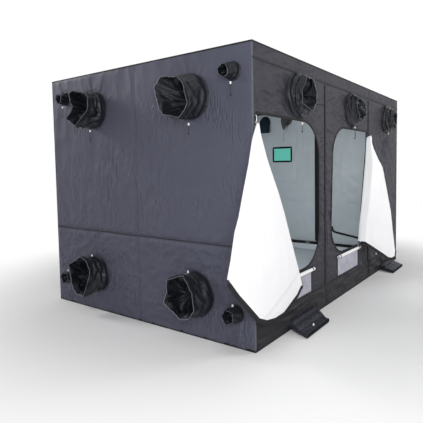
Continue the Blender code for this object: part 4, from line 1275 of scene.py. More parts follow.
def foot_sleeve_rows(place, lock_along, lock_out, seed, count, steps):
    """Rows of a foot sleeve from its slot in the wall to its mouth, crumpled round the lock."""
    root = stadium(place, foot_slot_up, 0.48, 0.062, count)
    mouth = stadium(place - 0.105, cloth / 2 + 0.015, 0.435, 0.030, count)
    rows = [[on_wall("front", a + (0.006 if a > place else -0.006), 0.0008, u) for a, u in root]]
    for i in range(steps + 1):
        step = i / steps
        row = []
        for (ra, ru), (ma, mu) in zip(root, mouth):
            a = ra + (ma - ra) * step
            u = ru + (mu - ru) * math.sin(step * math.pi / 2)
            out = 0.002 + 0.188 * step
            top = 1.0 if ru > foot_slot_up else 0.0
            reach = math.hypot(a - lock_along, out - lock_out)
            turn = math.atan2(out - lock_out, a - lock_along)
            rays = crest(turn * 1.5, reach, seed, 0.40, 0.6) - 0.5
            folds = crest(a, out, seed + 3, 0.09, 0.14) - 0.5
            fade = math.sin(math.pi * min(1.0, 0.08 + step * 0.92))
            u += top * fade * (0.040 * rays * math.exp(-reach / 0.18) + 0.014 * folds)
            u = max(u, 0.0016 if top else u)
            row.append(on_wall("front", a, out + 0.012 * swell(a * 6, seed, 0) * step, max(u, 0.0014)))
        rows.append(row)
    return rows


def make_foot_sleeve(word, place, seed):
    """A wide cable sleeve that lies on the ground before the wall, crumpled flat towards its mouth."""
    count, steps = 96, 20
    lock_along, lock_out = place - 0.125, 0.158
    rows = foot_sleeve_rows(place, lock_along, lock_out, seed, count, steps)
    hem = rows[-1]
    centre = sum(hem, Vector()) / count
    for shrink, push in ((0.992, 0.003), (0.975, 0.0035), (0.96, 0.0)):
        rows.append([centre + (p - centre) * shrink + Vector((0, -push, 0)) for p in hem])
    for i in range(1, 8):
        rows.append([
            centre + (p - centre) * (0.95 - 0.02 * i) + Vector((0.012 * i, 0.020 * i, 0.0012 * i)) for p in hem
        ])
    verts, faces = grid_sheet(rows, closed=True)
    kinds = []
    for i in range(len(rows) - 1):
        kinds += [1 if steps + 1 <= i < steps + 4 else 0] * count
    pick = count * 6 + count // 4
    faces = turned_to(verts, faces, pick, verts[faces[pick][0]] - on_wall("front", place - 0.05, 0.09, 0.03))
    name = f"foot_sleeve_{word}"
    fabrics = [foot_sleeve_oxford, binding_tape]
    sleeve = add_piece(name + "_cloth", verts, faces, fabrics, "tent", "sleeve_cloth", [name], kinds)
    thicken(sleeve, 0.0012, -1.0)
    share = math.sin(lock_out / 0.19 * math.pi / 2)
    top = 0.068 + (0.001 + 0.03 - 0.068) * share
    start = on_wall("front", lock_along, lock_out, top + cloth / 2 - 0.0012)
    if word == "right":
        start = on_wall("front", 2.664, 0.016, 0.23)
    lock = add_lock(name, start, start + Vector((0, 0, lock_length)))


# ---- doors

class DoorFold:
    """A door folded back on itself: places are (down the fold, beyond it) on the folded cloth."""

    def __init__(self, bay, mirrored, drop, foot, tip_height, open_angle, radius):
        self.side = -1.0 if mirrored else 1.0
        self.hinge = door_side(bay, door_hinge + gap, mirrored)
        self.free = door_side(bay, door_free - 0.008, mirrored)
        self.bottom, self.top = door_bottom + 0.008, door_top - 0.008
        self.apex = Vector((self.hinge, self.top - drop))
        self.foot = Vector((self.hinge + self.side * foot, self.bottom))
        self.corner = Vector((self.hinge, self.top))
        self.tip_end = Vector((self.free, tip_height))
        self.radius = radius
        self.axis_out = radius - cloth / 2
        self.arc = radius - cloth - gap
        self.length = (self.foot - self.apex).length
        self.down = (self.foot - self.apex).normalized()
        self.across = Vector((-self.down.y, self.down.x)) * self.side
        self.leave = math.pi / 2 - (math.pi - open_angle)

    def in_space(self, distance, across, out):
        if self.side < 0:
            # The roll of the right door runs out flat towards its top corner.
            out *= 0.62 + 0.38 * smooth_step(distance / 0.4)
        place = self.apex + self.down * distance + self.across * across
        return on_wall("front", place.x, out, place.y)

    def flap_point(self, distance, beyond, lift=0.0):
        """A point of the folded-back cloth; lift is off its lining side."""
        across = (self.arc + lift) * math.cos(self.leave) - beyond * math.sin(self.leave)
        out = self.axis_out + (self.arc + lift) * math.sin(self.leave) + beyond * math.cos(self.leave)
        return self.in_space(distance, across, out)

    def roll_point(self, distance, turn, centre=0.0, lift=0.0):
        """A point on the roll, turn radians back from where the flap leaves it, its centre moved beyond."""
        angle = self.leave - turn
        reach = self.arc + lift
        across = reach * math.cos(angle) - centre * math.sin(self.leave)
        out = self.axis_out + reach * math.sin(angle) + centre * math.cos(self.leave) * smooth_step(1 - turn / 1.2)
        return self.in_space(distance, across, out)

    def from_closed(self, point):
        """(down, beyond) of a place on the closed door."""
        offset = Vector(point) - self.apex
        return Vector((offset.dot(self.down), offset.dot(self.across)))

    def closed_outline(self):
        return door_outline(self.hinge, self.free, self.bottom, self.top, door_corner - 0.008)


def line_value(table, place):
    """A value between the rows of a table of (place, value)."""
    return float(np.interp(place, [row[0] for row in table], [row[1] for row in table]))


def line_points(points, count):
    """Evenly spaced points along a line of points."""
    lengths = [0.0]
    for a, b in zip(points, points[1:]):
        lengths.append(lengths[-1] + (Vector(b) - Vector(a)).length)
    result = []
    for i in range(count + 1):
        target = lengths[-1] * i / count
        result.append(Vector((
            float(np.interp(target, lengths, [p[0] for p in points])),
            float(np.interp(target, lengths, [p[1] for p in points])),
        )))
    return result


# Half the cloth's turn round the hem where a door's corner is folded under, and the rows that it takes.
tip_radius = 0.010
hem_rows = 9
sill_drop = 0.008


def make_flap(word, fold, free_edge, tape_edge, lining_edge, roll_edge, roll_ends, slack):
    """The folded-back part of a door with its roll. Gives the piece and the way that its lining faces."""
    turn_all = fold.leave + math.pi / 2
    arc_length = turn_all * fold.arc

    def place(distance, beyond, reach):
        centre = line_value(roll_edge, distance)
        if beyond < centre:
            turn = min(turn_all, (centre - beyond) / fold.arc)
            return fold.roll_point(distance, turn, centre)
        fade = smooth_step(reach / 0.09) * smooth_step((beyond - centre) / 0.12)
        lift = slack * fade * (0.6 + 0.9 * sway(distance, beyond, 51.0, 0.45) + 0.35 * crest(
            beyond - 0.25 * distance, distance, 53.0, 0.20, 0.9))
        below_sill = smooth_step((distance - fold.length) / 0.05) if word == "left" else 0.0
        return fold.flap_point(distance, beyond, max(0.0, lift) - sill_drop * below_sill)

    roll_start, roll_end = roll_ends
    upper = [(d, line_value(roll_edge, d) - arc_length) for d in np.linspace(roll_end, roll_start, 40)]
    flat, distance, faces = cut_cloth([*free_edge, *tape_edge, *upper], [], 0.012, [lining_edge])
    verts = [place(d, b, reach) for (d, b), reach in zip(flat, distance)]
    middles = flat[np.array(faces)].mean(1)
    lining = [*free_edge, *lining_edge, (roll_end, roll_edge[-1][1] - 0.5), (0.0, roll_edge[0][1] - 0.5)]
    kinds = [0 if flag else 2 for flag in inside_loop(middles, [tuple(p) for p in lining])]
    normal = fold.flap_point(0.5, 0.2, 0.1) - fold.flap_point(0.5, 0.2)
    pick = next(i for i, m in enumerate(middles) if m[1] > line_value(roll_edge, m[0]) + 0.1)
    faces = turned_to(verts, faces, pick, normal)
    body = f"door_{word}_flap"
    fabrics = [door_lining, shade_darkened_front_oxford, binding_tape, shade_darkened_front_oxford]
    flap = add_piece(body + "_cloth", verts, faces, fabrics, None, "door_lining", [body], kinds)
    thicken(flap, cloth, -1.0, 1)
    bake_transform(flap)
    return flap, normal.normalized()


def folded_under_edge(fold):
    """Where the door's round free corner comes to lie once it is folded under."""
    corner = fold.from_closed(fold.corner)
    tip_end = fold.from_closed(fold.tip_end)
    line = (tip_end - corner).normalized()
    edge = []
    for point in fold.closed_outline():
        if point[1] > fold.tip_end.y + 0.001:
            offset = fold.from_closed(point) - corner
            beside = offset - line * offset.dot(line)
            edge.append(corner + line * offset.dot(line) - beside)
    return [*edge, tip_end]


def tip_rows(fold, free_edge, tape_edge, roll_edge, stations):
    """Rows of the folded-under tip: round its hem first, then in behind the flap."""
    edge_points = line_points(free_edge, stations)
    far_points = line_points(folded_under_edge(fold), stations)
    flap_area = [tuple(p) for p in [*free_edge, *tape_edge, *((d, b + 0.03) for d, b in reversed(roll_edge))]]
    heart = Vector((sum(p[0] for p in flap_area), sum(p[1] for p in flap_area))) / len(flap_area)
    rows = []
    for i in range(stations + 1):
        edge, inner = edge_points[i], far_points[i]
        pull = 0.0
        while not inside_loop(np.array([inner + (inner - heart).normalized() * 0.04]), flap_area)[0] and pull < 1:
            pull += 0.04
            inner = far_points[i].lerp(heart, pull)
        ahead = edge_points[min(stations, i + 1)] - edge_points[max(0, i - 1)]
        outward = Vector((-ahead.y, ahead.x)).normalized()
        if outward.dot(heart - edge) > 0:
            outward = -outward
        row = []
        for k in range(hem_rows):
            turn = math.pi * k / (hem_rows - 1)
            spot = edge + outward * tip_radius * math.sin(turn)
            row.append(fold.flap_point(spot.x, spot.y, -tip_radius * (1 - math.cos(turn))))
        for k in range(1, 25):
            spot = edge.lerp(inner, k / 24)
            ripple = 0.0015 * sway(spot.x, spot.y, 57.0, 0.2) - 0.0015
            row.append(fold.flap_point(spot.x, spot.y, -2 * tip_radius + ripple * smooth_step(k / 6)))
        rows.append(row)
    return rows


def make_tip(word, fold, normal, free_edge, tape_edge, roll_edge):
    """The corner folded under: its hem rides on the flap, and the cloth behind it on the tip."""
    stations = 72
    rows = tip_rows(fold, free_edge, tape_edge, roll_edge, stations)
    hem_middle = fold.flap_point(*line_points(free_edge, stations)[stations // 2], -tip_radius)
    for name, body, part in (("fold", "flap", slice(0, hem_rows)), ("cloth", "tip", slice(hem_rows - 1, None))):
        verts, faces = grid_sheet([row[part] for row in rows])
        pick = len(faces) // 2 + 4
        side = verts[faces[pick][0]] - hem_middle if name == "fold" else -normal
        faces = turned_to(verts, faces, pick, side)
        replaces = [f"door_{word}_tip"] if name == "cloth" else []
        fabrics = [door_lining, shade_darkened_front_oxford]
        item = add_piece(
            f"door_{word}_tip_{name}", verts, faces, fabrics, f"door_{word}_{body}", "door_lining", replaces
        )
        thicken(item, cloth, -1.0, 1)


def make_standing_part(word, fold):
    """The part of a door that stays standing beside its hinge."""
    outline = [tuple(fold.foot), (fold.hinge, fold.bottom), tuple(fold.apex)]

    def out_at(a, u, reach):
        return -0.0002 - 0.0025 * smooth_step(reach / 0.06) * (1 + sway(a, u, 59.0, 0.2))

    standing = add_piece(
        f"door_{word}_standing_cloth", *set_on_wall("front", outline, 0.016, out_at), [shade_darkened_front_oxford, door_lining],
        "tent", "front_cloth", [f"door_{word}_panel"],
    )
    thicken(standing, 0.0016, -1.0, 1)


def make_door(word, fold, free_edge, tape_edge, lining_edge, roll_edge, roll_ends, slack):
    """Flap with its roll, then the corner folded under, then the standing part; the corner and the standing part go on
    their bodies, the flap is left without one.

    free_edge runs down the flap where its corner is folded under; tape_edge goes on along the zip tape's
    outer edge and lining_edge along its inner one; roll_edge gives how far the roll's centre is moved.
    """
    flap, normal = make_flap(word, fold, free_edge, tape_edge, lining_edge, roll_edge, roll_ends, slack)
    make_tip(word, fold, normal, free_edge, tape_edge, roll_edge)
    make_standing_part(word, fold)
    path = []
    for d, b in resample(tape_edge, 0.01, False):
        drop = sill_drop if word == "left" and d > fold.length else 0.0
        path.append(fold.flap_point(d, b - 0.002, 0.0012 - drop))
    make_row(
        f"door_{word}_flap_teeth", [(path, normal)], tooth_spacing, tooth_size, zip_coil, f"door_{word}_flap",
    )


# ---- zips, tapes and bindings

def wall_line(wall, points, out):
    return [on_wall(wall, a, out, u) for a, u in points]


def level_line(low, high, count, up, swing=0.0, seed=0.0, size=1.0):
    """A level line of (along, up) that wanders by swing."""
    return [(a, up + swing * sway(a, 0.0, seed, size)) for a in np.linspace(low, high, count)]


def upright_line(low, high, count, along, swing=0.0, seed=0.0, size=1.0):
    return [(along + swing * sway(0.0, u, seed, size), u) for u in np.linspace(low, high, count)]


def tape_on(wall, line, width, thickness, lift=tape_lift, closed=False):
    """A tape that lies on a wall along a line of (along, up)."""
    return ribbon_shape(wall_line(wall, line, lift), outward_of[wall], width, thickness, closed)


def add_tape(name, shapes, slot="wall_cloth", finish=binding_tape, body="tent", sharp=50):
    """Shapes of tape joined to one piece."""
    return add_piece(name, *join_shapes(shapes), [finish], body, slot, sharp=sharp)


def make_stitches(name, wall, lines, out):
    """Rows of stitches that stand a little off a wall, along lines of (along, up)."""
    rows = [(wall_line(wall, line, out), outward_of[wall]) for line in lines]
    make_row(name, rows, stitch_spacing, stitch_size, stitch_thread, "tent")


def make_doorway_zip(word, bay):
    """The standing half of a door's zip: tape on three sides, the sewn side, teeth and stitches."""
    mirrored = bay == 1
    edge = resample(doorway(bay, mirrored, 0.009), 0.012, False)
    tape = tape_on("front", edge, 0.020, 0.0030)
    sewn = tape_on("front", resample([edge[-1], edge[0]], 0.02, False), 0.020, 0.0026)
    add_tape(f"doorway_{word}_tape", [tape, sewn], "front_cloth")
    teeth = wall_line("front", resample(doorway(bay, mirrored, 0.002), 0.012, False), 0.0042)
    make_row(
        f"doorway_{word}_teeth", [(teeth, outward_of["front"])], tooth_spacing, tooth_size, zip_coil, "tent",
    )
    stitches = resample(doorway(bay, mirrored, 0.015), 0.02, False)
    make_stitches(f"doorway_{word}_stitches", "front", [stitches], 0.0042)


def make_front_seams():
    """Upright seams between the front panels, the short foot and top seams, and the band under the roof."""
    shapes, lines = [], []
    for along in (bay_length, 2 * bay_length):
        line = upright_line(0.21, 2.06, 90, along, 0.004, along, 0.25)
        shapes.append(tape_on("front", line, 0.021, 0.0050))
        lines += [[(a + side, u) for a, u in line] for side in (-0.0075, 0.0075)]
    shapes.append(tape_on("front", level_line(0.92, 1.49, 40, foot_seam, 0.003, 91.0, 0.3), 0.012, 0.0040))
    slanting = [(a, 1.873 + (a - 1.03) * 0.09) for a in np.linspace(1.03, 1.19, 14)]
    shapes.append(tape_on("front", slanting, 0.007, 0.0052, 0.0006))
    add_tape("front_seam_tapes", shapes, "front_cloth")
    make_stitches("front_seam_stitches", "front", lines, 0.0056)
    line = level_line(0.002, 3.598, 160, band_seam, 0.002, band_seam, 0.3)
    add_tape("front_band_seams", [tape_on("front", line, 0.012, 0.0046)], "front_cloth", seam_tape)
    make_stitches("front_band_stitches", "front", [[(a, u + 0.012) for a, u in line]], 0.004)


def make_other_seams():
    """Seams of the left, right and back walls and of the roof."""
    line = level_line(0.01, 2.39, 120, level_seam, 0.003, 95.0, 0.3)
    add_tape("left_seam_tapes", [tape_on("left", line, 0.009, 0.0026)], finish=seam_tape)
    line = upright_line(0.01, 2.19, 110, bay_length, 0.002, 97.0, 0.3)
    add_tape("left_upright_seam", [tape_on("left", line, 0.012, 0.0012, 0.0002)], finish=wall_oxford)
    lines = [level_line(0.01, 2.39, 60, level_seam + side) for side in (-0.012, 0.012)]
    make_stitches("left_seam_stitches", "left", lines, 0.0035)
    for wall, span in (("right", tent_depth), ("back", tent_length)):
        shapes = [tape_on(wall, level_line(0.01, span - 0.01, 100, level_seam), 0.012, 0.0040)]
        for along in np.arange(bay_length, span - 0.1, bay_length):
            shapes.append(tape_on(wall, upright_line(0.01, 2.19, 60, along), 0.014, 0.0046))
        add_tape(f"{wall}_seam_tapes", shapes, finish=seam_tape)
    shapes = []
    for x in (-bay_length / 2, bay_length / 2):
        line = [Vector((x, y, tent_height + 0.0003)) for y in np.linspace(-1.19, 1.19, 60)]
        shapes.append(ribbon_shape(line, (0, 0, 1), 0.016, 0.0030))
    add_tape("roof_seam_tapes", shapes, finish=seam_tape)


def edge_binding(start, end, first, second, width, proud):
    """A folded tape over an edge of the box: first and second point out of the two faces that meet."""
    start, end, first, second = Vector(start), Vector(end), Vector(first), Vector(second)
    corners = [
        -second * width, -second * width + first * proud, first * proud - second * 0.001,
        first * proud * 0.7 + second * proud * 0.7, second * proud - first * 0.001,
        -first * width + second * proud, -first * width,
    ]
    count = max(2, int((end - start).length / 0.05))
    rows = []
    for i in range(count + 1):
        middle = start.lerp(end, i / count)
        rows.append([middle + corner for corner in corners])
    verts, faces = grid_sheet(rows, closed=True)
    faces.append(list(range(len(corners))))
    faces.append([len(verts) - 1 - i for i in range(len(corners))])
    return verts, faces


def make_bindings():
    """Folded tapes over the edges of the skin, and flat ones along the foot of each wall."""
    x, y, z = half_length, half_depth, tent_height
    shapes = [
        edge_binding((sx * x, sy * y, 0.004), (sx * x, sy * y, z), (sx, 0, 0), (0, sy, 0), 0.009, 0.0012)
        for sx, sy in ((-1, -1), (1, -1), (-1, 1), (1, 1))
    ]
    shapes += [
        edge_binding((-x, side * y, z), (x, side * y, z), (0, side, 0), (0, 0, 1), 0.011, 0.0014) for side in (-1, 1)
    ]
    shapes += [
        edge_binding((side * x, -y, z), (side * x, y, z), (side, 0, 0), (0, 0, 1), 0.011, 0.0014) for side in (-1, 1)
    ]
    # The front left edge comes first, and its tape is the paler one: a painted highlight on the same black binding as
    # the other edges.
    kinds = [1 if i == 0 else 0 for i, shape in enumerate(shapes) for _ in shape[1]]
    verts, faces = join_shapes(shapes)
    piece = add_piece(
        "edge_bindings", verts, faces, [binding_tape, highlight_corner_tape], "tent", "wall_cloth", kinds=kinds, sharp=40
    )
    fix_outside(piece)
    # Along the front, the foot tape leaves room for the two foot sleeves.
    shapes = [
        tape_on("front", level_line(low + 0.001, high - 0.001, 20, 0.010), 0.018, 0.0030)
        for low, high in ((0.0, 0.49), (0.99, 2.84), (3.34, tent_length))
    ]
    for wall, span in (("left", tent_depth), ("right", tent_depth), ("back", tent_length)):
        shapes.append(tape_on(wall, level_line(0.001, span - 0.001, 60, 0.010), 0.018, 0.0030))
    add_tape("foot_bindings", shapes)


# ---- vents

def rolled_cover_rows(start, end, bay):
    """Rows of a vent cover wound on itself, from its middle out."""
    radius = 0.017
    columns, points, windings = 60, 96, 3.1
    centre_up, centre_out = vent_top + radius, radius + gap
    rows = []
    for i in range(columns + 1):
        along = start + (end - start) * i / columns
        row = []
        for k in range(points + 1):
            share = k / points
            turn = 2 * math.pi * windings * share + 0.9
            size = radius * (0.18 + 0.80 * share)
            size += 0.0009 * sway(along, share * 3, 107.0 + bay, 0.06) * share
            size = min(size, radius * 0.985)
            row.append(on_wall(
                "front", along + 0.004 * (1 - share) * sway(turn * 0.1, 0.0, 109.0, 0.4),
                centre_out + size * math.cos(turn), centre_up + size * math.sin(turn),
            ))
        rows.append(row)
    return rows


def make_vent(word, bay, mirrored):
    """Net window with its bound edge, and the white cover rolled up above it."""
    low, high = vent_ends(bay, mirrored)
    ends = (low, high, vent_bottom, vent_top)

    def out_at(a, u, reach):
        bulge = 0.004 * smooth_step(reach / 0.08) * (sway(a, u, 101.0 + bay, 0.12) - 0.3)
        return bulge + 0.0025 * smooth_step(reach / 0.05) * (crest(a + 0.5 * u, u, 103.0 + bay, 0.11, 0.3) - 0.5)

    net_sheet = set_on_wall("front", grown(ends, -gap), 0.010, out_at)
    net = add_piece(f"vent_{word}_net", *net_sheet, [net_knit], "tent", "vent_net", [f"vent_net_{word}"])
    thicken(net, 0.0012, -1.0)
    edge = resample(grown(ends, 0.004), 0.03, True)
    add_tape(f"vent_{word}_binding", [tape_on("front", edge, 0.016, 0.0032, closed=True)], "front_cloth")
    start, end = low - 0.015, high + 0.015
    verts, faces = grid_sheet(rolled_cover_rows(start, end, bay))
    roll = add_piece(
        f"vent_{word}_rolled_cover", verts, faces, [door_lining], "tent", "door_lining", [f"vent_roll_{word}"]
    )
    thicken(roll, 0.0009, 0.0)


# ---- window

def make_window():
    """The tinted pane in its border of tape."""
    def out_at(a, u, reach):
        return -0.0010 + 0.0012 * smooth_step(reach / 0.05) * sway(a, u, 121.0, 0.12)

    sheet = set_on_wall("right", grown(window_ends, -gap), 0.012, out_at)
    pane = add_piece("window_pane", *sheet, [window_film], "tent", "window_film", ["observation_window"])
    thicken(pane, 0.0006, -1.0)
    edge = resample(grown(window_ends, 0.007), 0.03, True)
    line = wall_line("right", edge, -cloth - 0.0012)
    inner = ribbon_shape(line, (-1, 0, 0), 0.028, 0.0024, closed=True)
    outer = tape_on("right", edge, 0.030, 0.0028, closed=True)
    add_tape("window_border", [inner, outer], "window_film")


def make_window_cover():
    """The cover that hangs below the window outside, with a strip of fastener down each side."""
    low, high, bottom, top = window_ends
    margin = window_border_reach
    height = top - bottom + 2 * margin
    cover_top = bottom - margin
    outline = rectangle(low - margin, high + margin, cover_top - height, cover_top)

    def cover_out(a, u, reach=0.0):
        return 0.0018 - cover_dip * smooth_step((cover_top - u) / 0.010) + 0.0004 * sway(a, u, 127.0, 0.1)

    sheet = set_on_wall("right", outline, 0.012, cover_out)
    cover = add_piece(
        "window_cover_cloth", *sheet, [shade_greyed_wall_lining, wall_oxford], "window_cover", "wall_cloth", ["window_cover"]
    )
    thicken(cover, sleeve_cloth, -1.0, 1)
    shapes = []
    for offset in (low - margin + 0.012, high + margin - 0.012):
        line = []
        for u in np.linspace(cover_top - height + 0.006, cover_top - 0.012, 24):
            line.append(on_wall("right", offset, cover_out(offset, u) + 0.0001, u))
        shapes.append(ribbon_shape(line, (1, 0, 0), 0.022, 0.0010))
    add_tape("window_cover_fasteners", shapes, body="window_cover")


# ---- tray, frame and inside

def tray_relief(x, y):
    return 0.0035 + 0.0035 * sway(x, y, 131.0, 0.3) + 0.003 * crest(x, y, 133.0, 0.22, 0.25)


def make_tray():
    """Spill tray: a wrinkled floor with soft sides and a bound top edge."""
    margin, height = 0.045, 0.145
    half_x, half_y = half_length - margin, half_depth - margin
    make_level_sheet(
        "tray_floor", "spill_tray", half_x - 0.004, half_y - 0.004, skin + 0.0022, 0.03, tray_relief, [tray_coat],
        "tray_cloth", 0.0012,
    )
    around = resample(rectangle(-half_x, half_x, -half_y, half_y), 0.03, True)
    count = len(around)
    rows = []
    for k in range(9):
        share = k / 8
        row = []
        for i, point in enumerate(around):
            ahead = around[(i + 1) % count] - around[i - 1]
            inward = Vector((-ahead.y, ahead.x)).normalized()
            lean = 0.004 + 0.008 * share * (1 + sway(point.x + point.y, share, 137.0, 0.25))
            spot = point + inward * lean
            row.append(Vector((spot.x, spot.y, skin + 0.001 + (height - 0.002) * share)))
        rows.append(row)
    verts, faces = grid_sheet(rows, closed=True)
    side = add_piece("tray_sides", verts, faces, [tray_coat], "tent", "tray_cloth")
    thicken(side, sleeve_cloth, 0.0)
    top = rows[-1]
    band = []
    for i, point in enumerate(top):
        ahead = top[(i + 1) % count] - top[i - 1]
        band.append((point, Vector((-ahead.y, ahead.x, 0.0)).normalized()))
    profile = ((-0.0035, -0.042), (-0.0035, 0.0), (0.0, 0.0026), (0.0035, 0.0), (0.0035, -0.042), (-0.0035, -0.042))
    rim = grid_sheet([[p + n * a + Vector((0, 0, u)) for p, n in band] for a, u in profile], closed=True)
    fix_outside(add_tape("tray_binding", [rim], "tray_cloth"))


def make_straps():
    """White tie strap at the left door's top hinge, and black straps that hold the rolled vent covers."""
    line = wall_line("front", [(0.034 - 0.004 * k / 8, 1.692 - 0.058 * k / 8) for k in range(9)], 0.0)
    line = [p + Vector((0.0, -0.004 - 0.006 * math.sin(math.pi * k / 8), 0.0)) for k, p in enumerate(line)]
    add_tape("door_left_tie", [ribbon_shape(line, (0, -1, 0), 0.007, 0.0016)], "front_cloth", door_lining)
    shapes = []
    for bay, mirrored in ((0, False), (1, True)):
        low, high = vent_ends(bay, mirrored)
        for along in (low + 0.02, high - 0.02):
            rows = []
            for k in range(25):
                turn = 2 * math.pi * k / 24
                rows.append([
                    on_wall("front", along + side, 0.0173 + size * math.cos(turn), 0.422 + size * math.sin(turn))
                    for side, size in ((-0.006, 0.0165), (-0.006, 0.0185), (0.006, 0.0185), (0.006, 0.0165))
                ])
            shapes.append(grid_sheet(rows, closed=True))
    fix_outside(add_tape("vent_roll_straps", shapes, "front_cloth"))


def make_inside():
    """The wide strap along the foot of the right wall, and the pole sleeve on that wall's middle upright."""
    strap = [(0.955, 0.40), (0.950, 0.36), (0.935, 0.330), (0.900, 0.314), (0.850, 0.306)]
    strap += [(0.85 - 0.06 * k, 0.306 - 0.0098 * k) for k in range(1, 12)]
    line = wall_line("right", resample(strap, 0.02, False), -cloth - 0.016)
    add_tape("right_wall_strap", [ribbon_shape(line, (-1, 0, 0), 0.030, 0.0020)])
    rows = []
    for up in np.linspace(0.16, 2.14, 60):
        point = Vector((half_length - 0.019, 0.0, up))
        row = []
        for angle in turns(20):
            wide = 0.034 + 0.0015 * swell(point.z * 6, angle, 3.0)
            row.append(point + Vector((0.0155 * math.cos(angle), wide * math.sin(angle), 0.0)))
        rows.append(row)
    sleeve = add_piece("pole_cover_right", *grid_sheet(rows, closed=True), [binding_tape], "tent", "front_cloth")
    fix_outside(sleeve)
    thicken(sleeve, 0.0012, -1.0)


def dress_frame():
    """The carried-over steel and the zip sliders get their finishes."""
    for name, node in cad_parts.items():
        steel = name.startswith(("pole_", "base_frame", "top_frame", "hanging_bar"))
        if steel or name.startswith("zip_slider"):
            node.data.materials.clear()
            node.data.materials.append(steel_coat if steel else zinc_plate)
        if steel:
            node.data.shade_smooth()
            node.data.set_sharp_from_angle(angle=math.radians(40))


# ---- build it all

make_skin()
make_level_sheet(
    "roof_cloth", "roof_panel", half_length, half_depth, tent_height, 0.028, roof_relief, [wall_oxford, shade_greyed_wall_lining],
    "wall_cloth", cloth,
)
make_level_sheet(
    "ground_sheet_cloth", "ground_sheet", half_length - cloth - gap, half_depth - cloth - gap, cloth, 0.06,
    lambda x, y: 0.0, [wall_oxford], "wall_cloth", 0.0019,
)
for number, sleeve_name in enumerate(ports):
    make_duct_sleeve(sleeve_name, 3.7 * number + 1.3)
gathered_end = (1.728, 0.1003, 2.02 - 0.13 + lock_radius - 0.002, 0.0105)
make_hanging_sleeve("inner_sleeve_gathered", gathered_seat, gathered_end, 7, gathered_oxford, 3.0)
make_hanging_sleeve("inner_sleeve_open", open_seat, (2.106, 0.085, 1.872, 0.092), 5, open_sleeve_oxford, 5.0)
make_foot_sleeve("left", foot_places[0], 151.0)
make_foot_sleeve("right", foot_places[1], 157.0)

left_fold = DoorFold(0, False, 0.062, 0.484, 1.29, math.radians(180), 0.024)
right_fold = DoorFold(1, True, 0.0, 0.273, 1.0, math.radians(165), 0.050)
make_door(
    "left", left_fold,
    free_edge=[(-.014, .036), (.022, .080), (.070, .137), (.206, .245), (.337, .367), (.477, .492), (.543, .570),
               (.689, .684), (.778, .764)],
    tape_edge=[(.795, .800), (.949, .748), (1.252, .617), (1.347, .526), (1.411, .413), (1.457, .287), (1.467, .042),
               (1.440, -.074), (1.350, -.070)],
    lining_edge=[(.780, .770), (.933, .715), (1.231, .584), (1.319, .501), (1.381, .399), (1.426, .281),
                 (1.434, .046), (1.412, -.050), (1.340, -.064)],
    roll_edge=[(0.0, .042), (.051, .052), (.257, .042), (.558, -.007), (.741, -.023), (.958, -.030),
               (1.209, -.043), (1.327, -.048)],
    roll_ends=(0.0, 1.27), slack=0.010,
)
make_door(
    "right", right_fold,
    free_edge=[(.034, .004), (.066, .020), (.163, .040), (.291, .144), (.359, .216), (.551, .312), (.826, .450),
               (1.052, .524), (1.210, .580)],
    tape_edge=[(1.285, .637), (1.372, .632), (1.402, .545), (1.401, .460), (1.372, .365), (1.301, .110),
               (1.255, -.010)],
    lining_edge=[(1.279, .607), (1.350, .605), (1.372, .541), (1.371, .464), (1.342, .375), (1.271, .120),
                 (1.235, -.010)],
    roll_edge=[(0.0, .012), (.3, .030), (.8, .022), (1.05, .0), (1.3, 0.0)],
    roll_ends=(0.08, 1.225), slack=0.012,
)
make_vent("left", 0, False)
make_vent("right", 1, True)
make_doorway_zip("left", 0)
make_doorway_zip("right", 1)
make_front_seams()
make_other_seams()
make_bindings()
make_window()
make_window_cover()
make_tray()
make_straps()
make_inside()
dress_frame()


# ---- studio

def seen_directly(tree):
    """1 for rays that come from the camera, straight, mirrored or let through; 0 for lighting."""
    rays = add_node(tree, "ShaderNodeLightPath").outputs
    seen = rays["Is Camera Ray"]
    for other in ("Is Glossy Ray", "Is Transmission Ray"):
        seen = add_node(tree, "ShaderNodeMath", {0: seen, 1: rays[other]}, operation="MAXIMUM").outputs[0]
    return seen


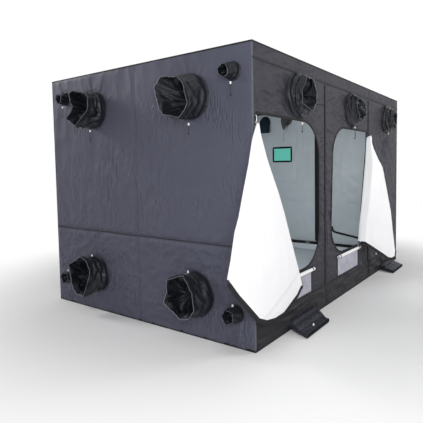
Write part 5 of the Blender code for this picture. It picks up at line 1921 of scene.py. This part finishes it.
def make_floor():
    """Pale studio floor that keeps the object's shadow and fades into the white background."""
    material, tree, shader, place = new_material("studio_floor")
    set_shader(shader, Base_Color=srgb("#f7f7f7"), Roughness=0.9, Specular_IOR_Level=0.2)
    reach = add_node(tree, "ShaderNodeVectorMath", {0: place}, operation="LENGTH")
    fade = add_range(tree, reach.outputs["Value"], From_Min=2.2, From_Max=4.0)
    fade.interpolation_type = "SMOOTHSTEP"
    share = multiply(tree, fade.outputs["Result"], seen_directly(tree))
    white = add_node(tree, "ShaderNodeEmission", {"Color": srgb("#ffffff"), "Strength": 1.0})
    mix = add_node(
        tree, "ShaderNodeMixShader", {0: share, 1: shader.outputs["BSDF"], 2: white.outputs["Emission"]}
    )
    out = [n for n in tree.nodes if n.type == "OUTPUT_MATERIAL"][0]
    tree.links.new(mix.outputs[0], out.inputs["Surface"])
    mesh = bpy.data.meshes.new("studio_floor")
    corners = [(a, u, 0) for a, u in rectangle(-60.0, 60.0, -60.0, 60.0)]
    mesh.from_pydata(corners, [], [[0, 1, 2, 3]])
    mesh.materials.append(material)
    floor = into_scene("studio_floor", mesh)
    floor.location.z = -0.0005


def make_world(strength):
    """White to the camera, and a plain soft light on everything else."""
    world = bpy.data.worlds.new("studio")
    bpy.context.scene.world = world
    world.use_nodes = True
    tree = world.node_tree
    tree.nodes.clear()
    soft = add_node(tree, "ShaderNodeBackground", {"Color": (1, 1, 1, 1), "Strength": strength})
    white = add_node(tree, "ShaderNodeBackground", {"Color": (1, 1, 1, 1), "Strength": 1.0})
    mix = add_node(
        tree, "ShaderNodeMixShader",
        {0: seen_directly(tree), 1: soft.outputs["Background"], 2: white.outputs["Background"]},
    )
    add_node(tree, "ShaderNodeOutputWorld", {"Surface": mix.outputs[0]})


def make_lamp(name, place, target, size, level):
    """A soft square lamp; level is how brightly it lights a white card at its target."""
    place, target = Vector(place), Vector(target)
    lamp = bpy.data.lights.new(name, "AREA")
    lamp.shape = "SQUARE"
    lamp.size = size
    lamp.energy = level * 4 * math.pi * (target - place).length_squared
    item = into_scene(name, lamp)
    item.location = place
    item.rotation_mode = "QUATERNION"
    item.rotation_quaternion = (target - place).to_track_quat("-Z", "Y")
    item.visible_camera = False


make_floor()
make_world(0.45)
make_lamp("left_lamp", (-4.3, -3.1, 1.9), (-1.8, -0.9, 1.25), 1.6, 0.48)
make_lamp("raking_lamp", (-3.2, 5.5, 4.0), (-1.8, 0.2, 1.2), 1.6, 0.24)
make_lamp("front_lamp", (3.0, -5.4, 2.6), (0.2, -1.2, 1.1), 2.0, 0.33)
make_lamp("lining_lamp", (-1.0, 0.2, 1.60), (1.8, 0.5, 0.8), 0.7, 0.20)
bpy.context.scene.view_settings.view_transform = "Standard"
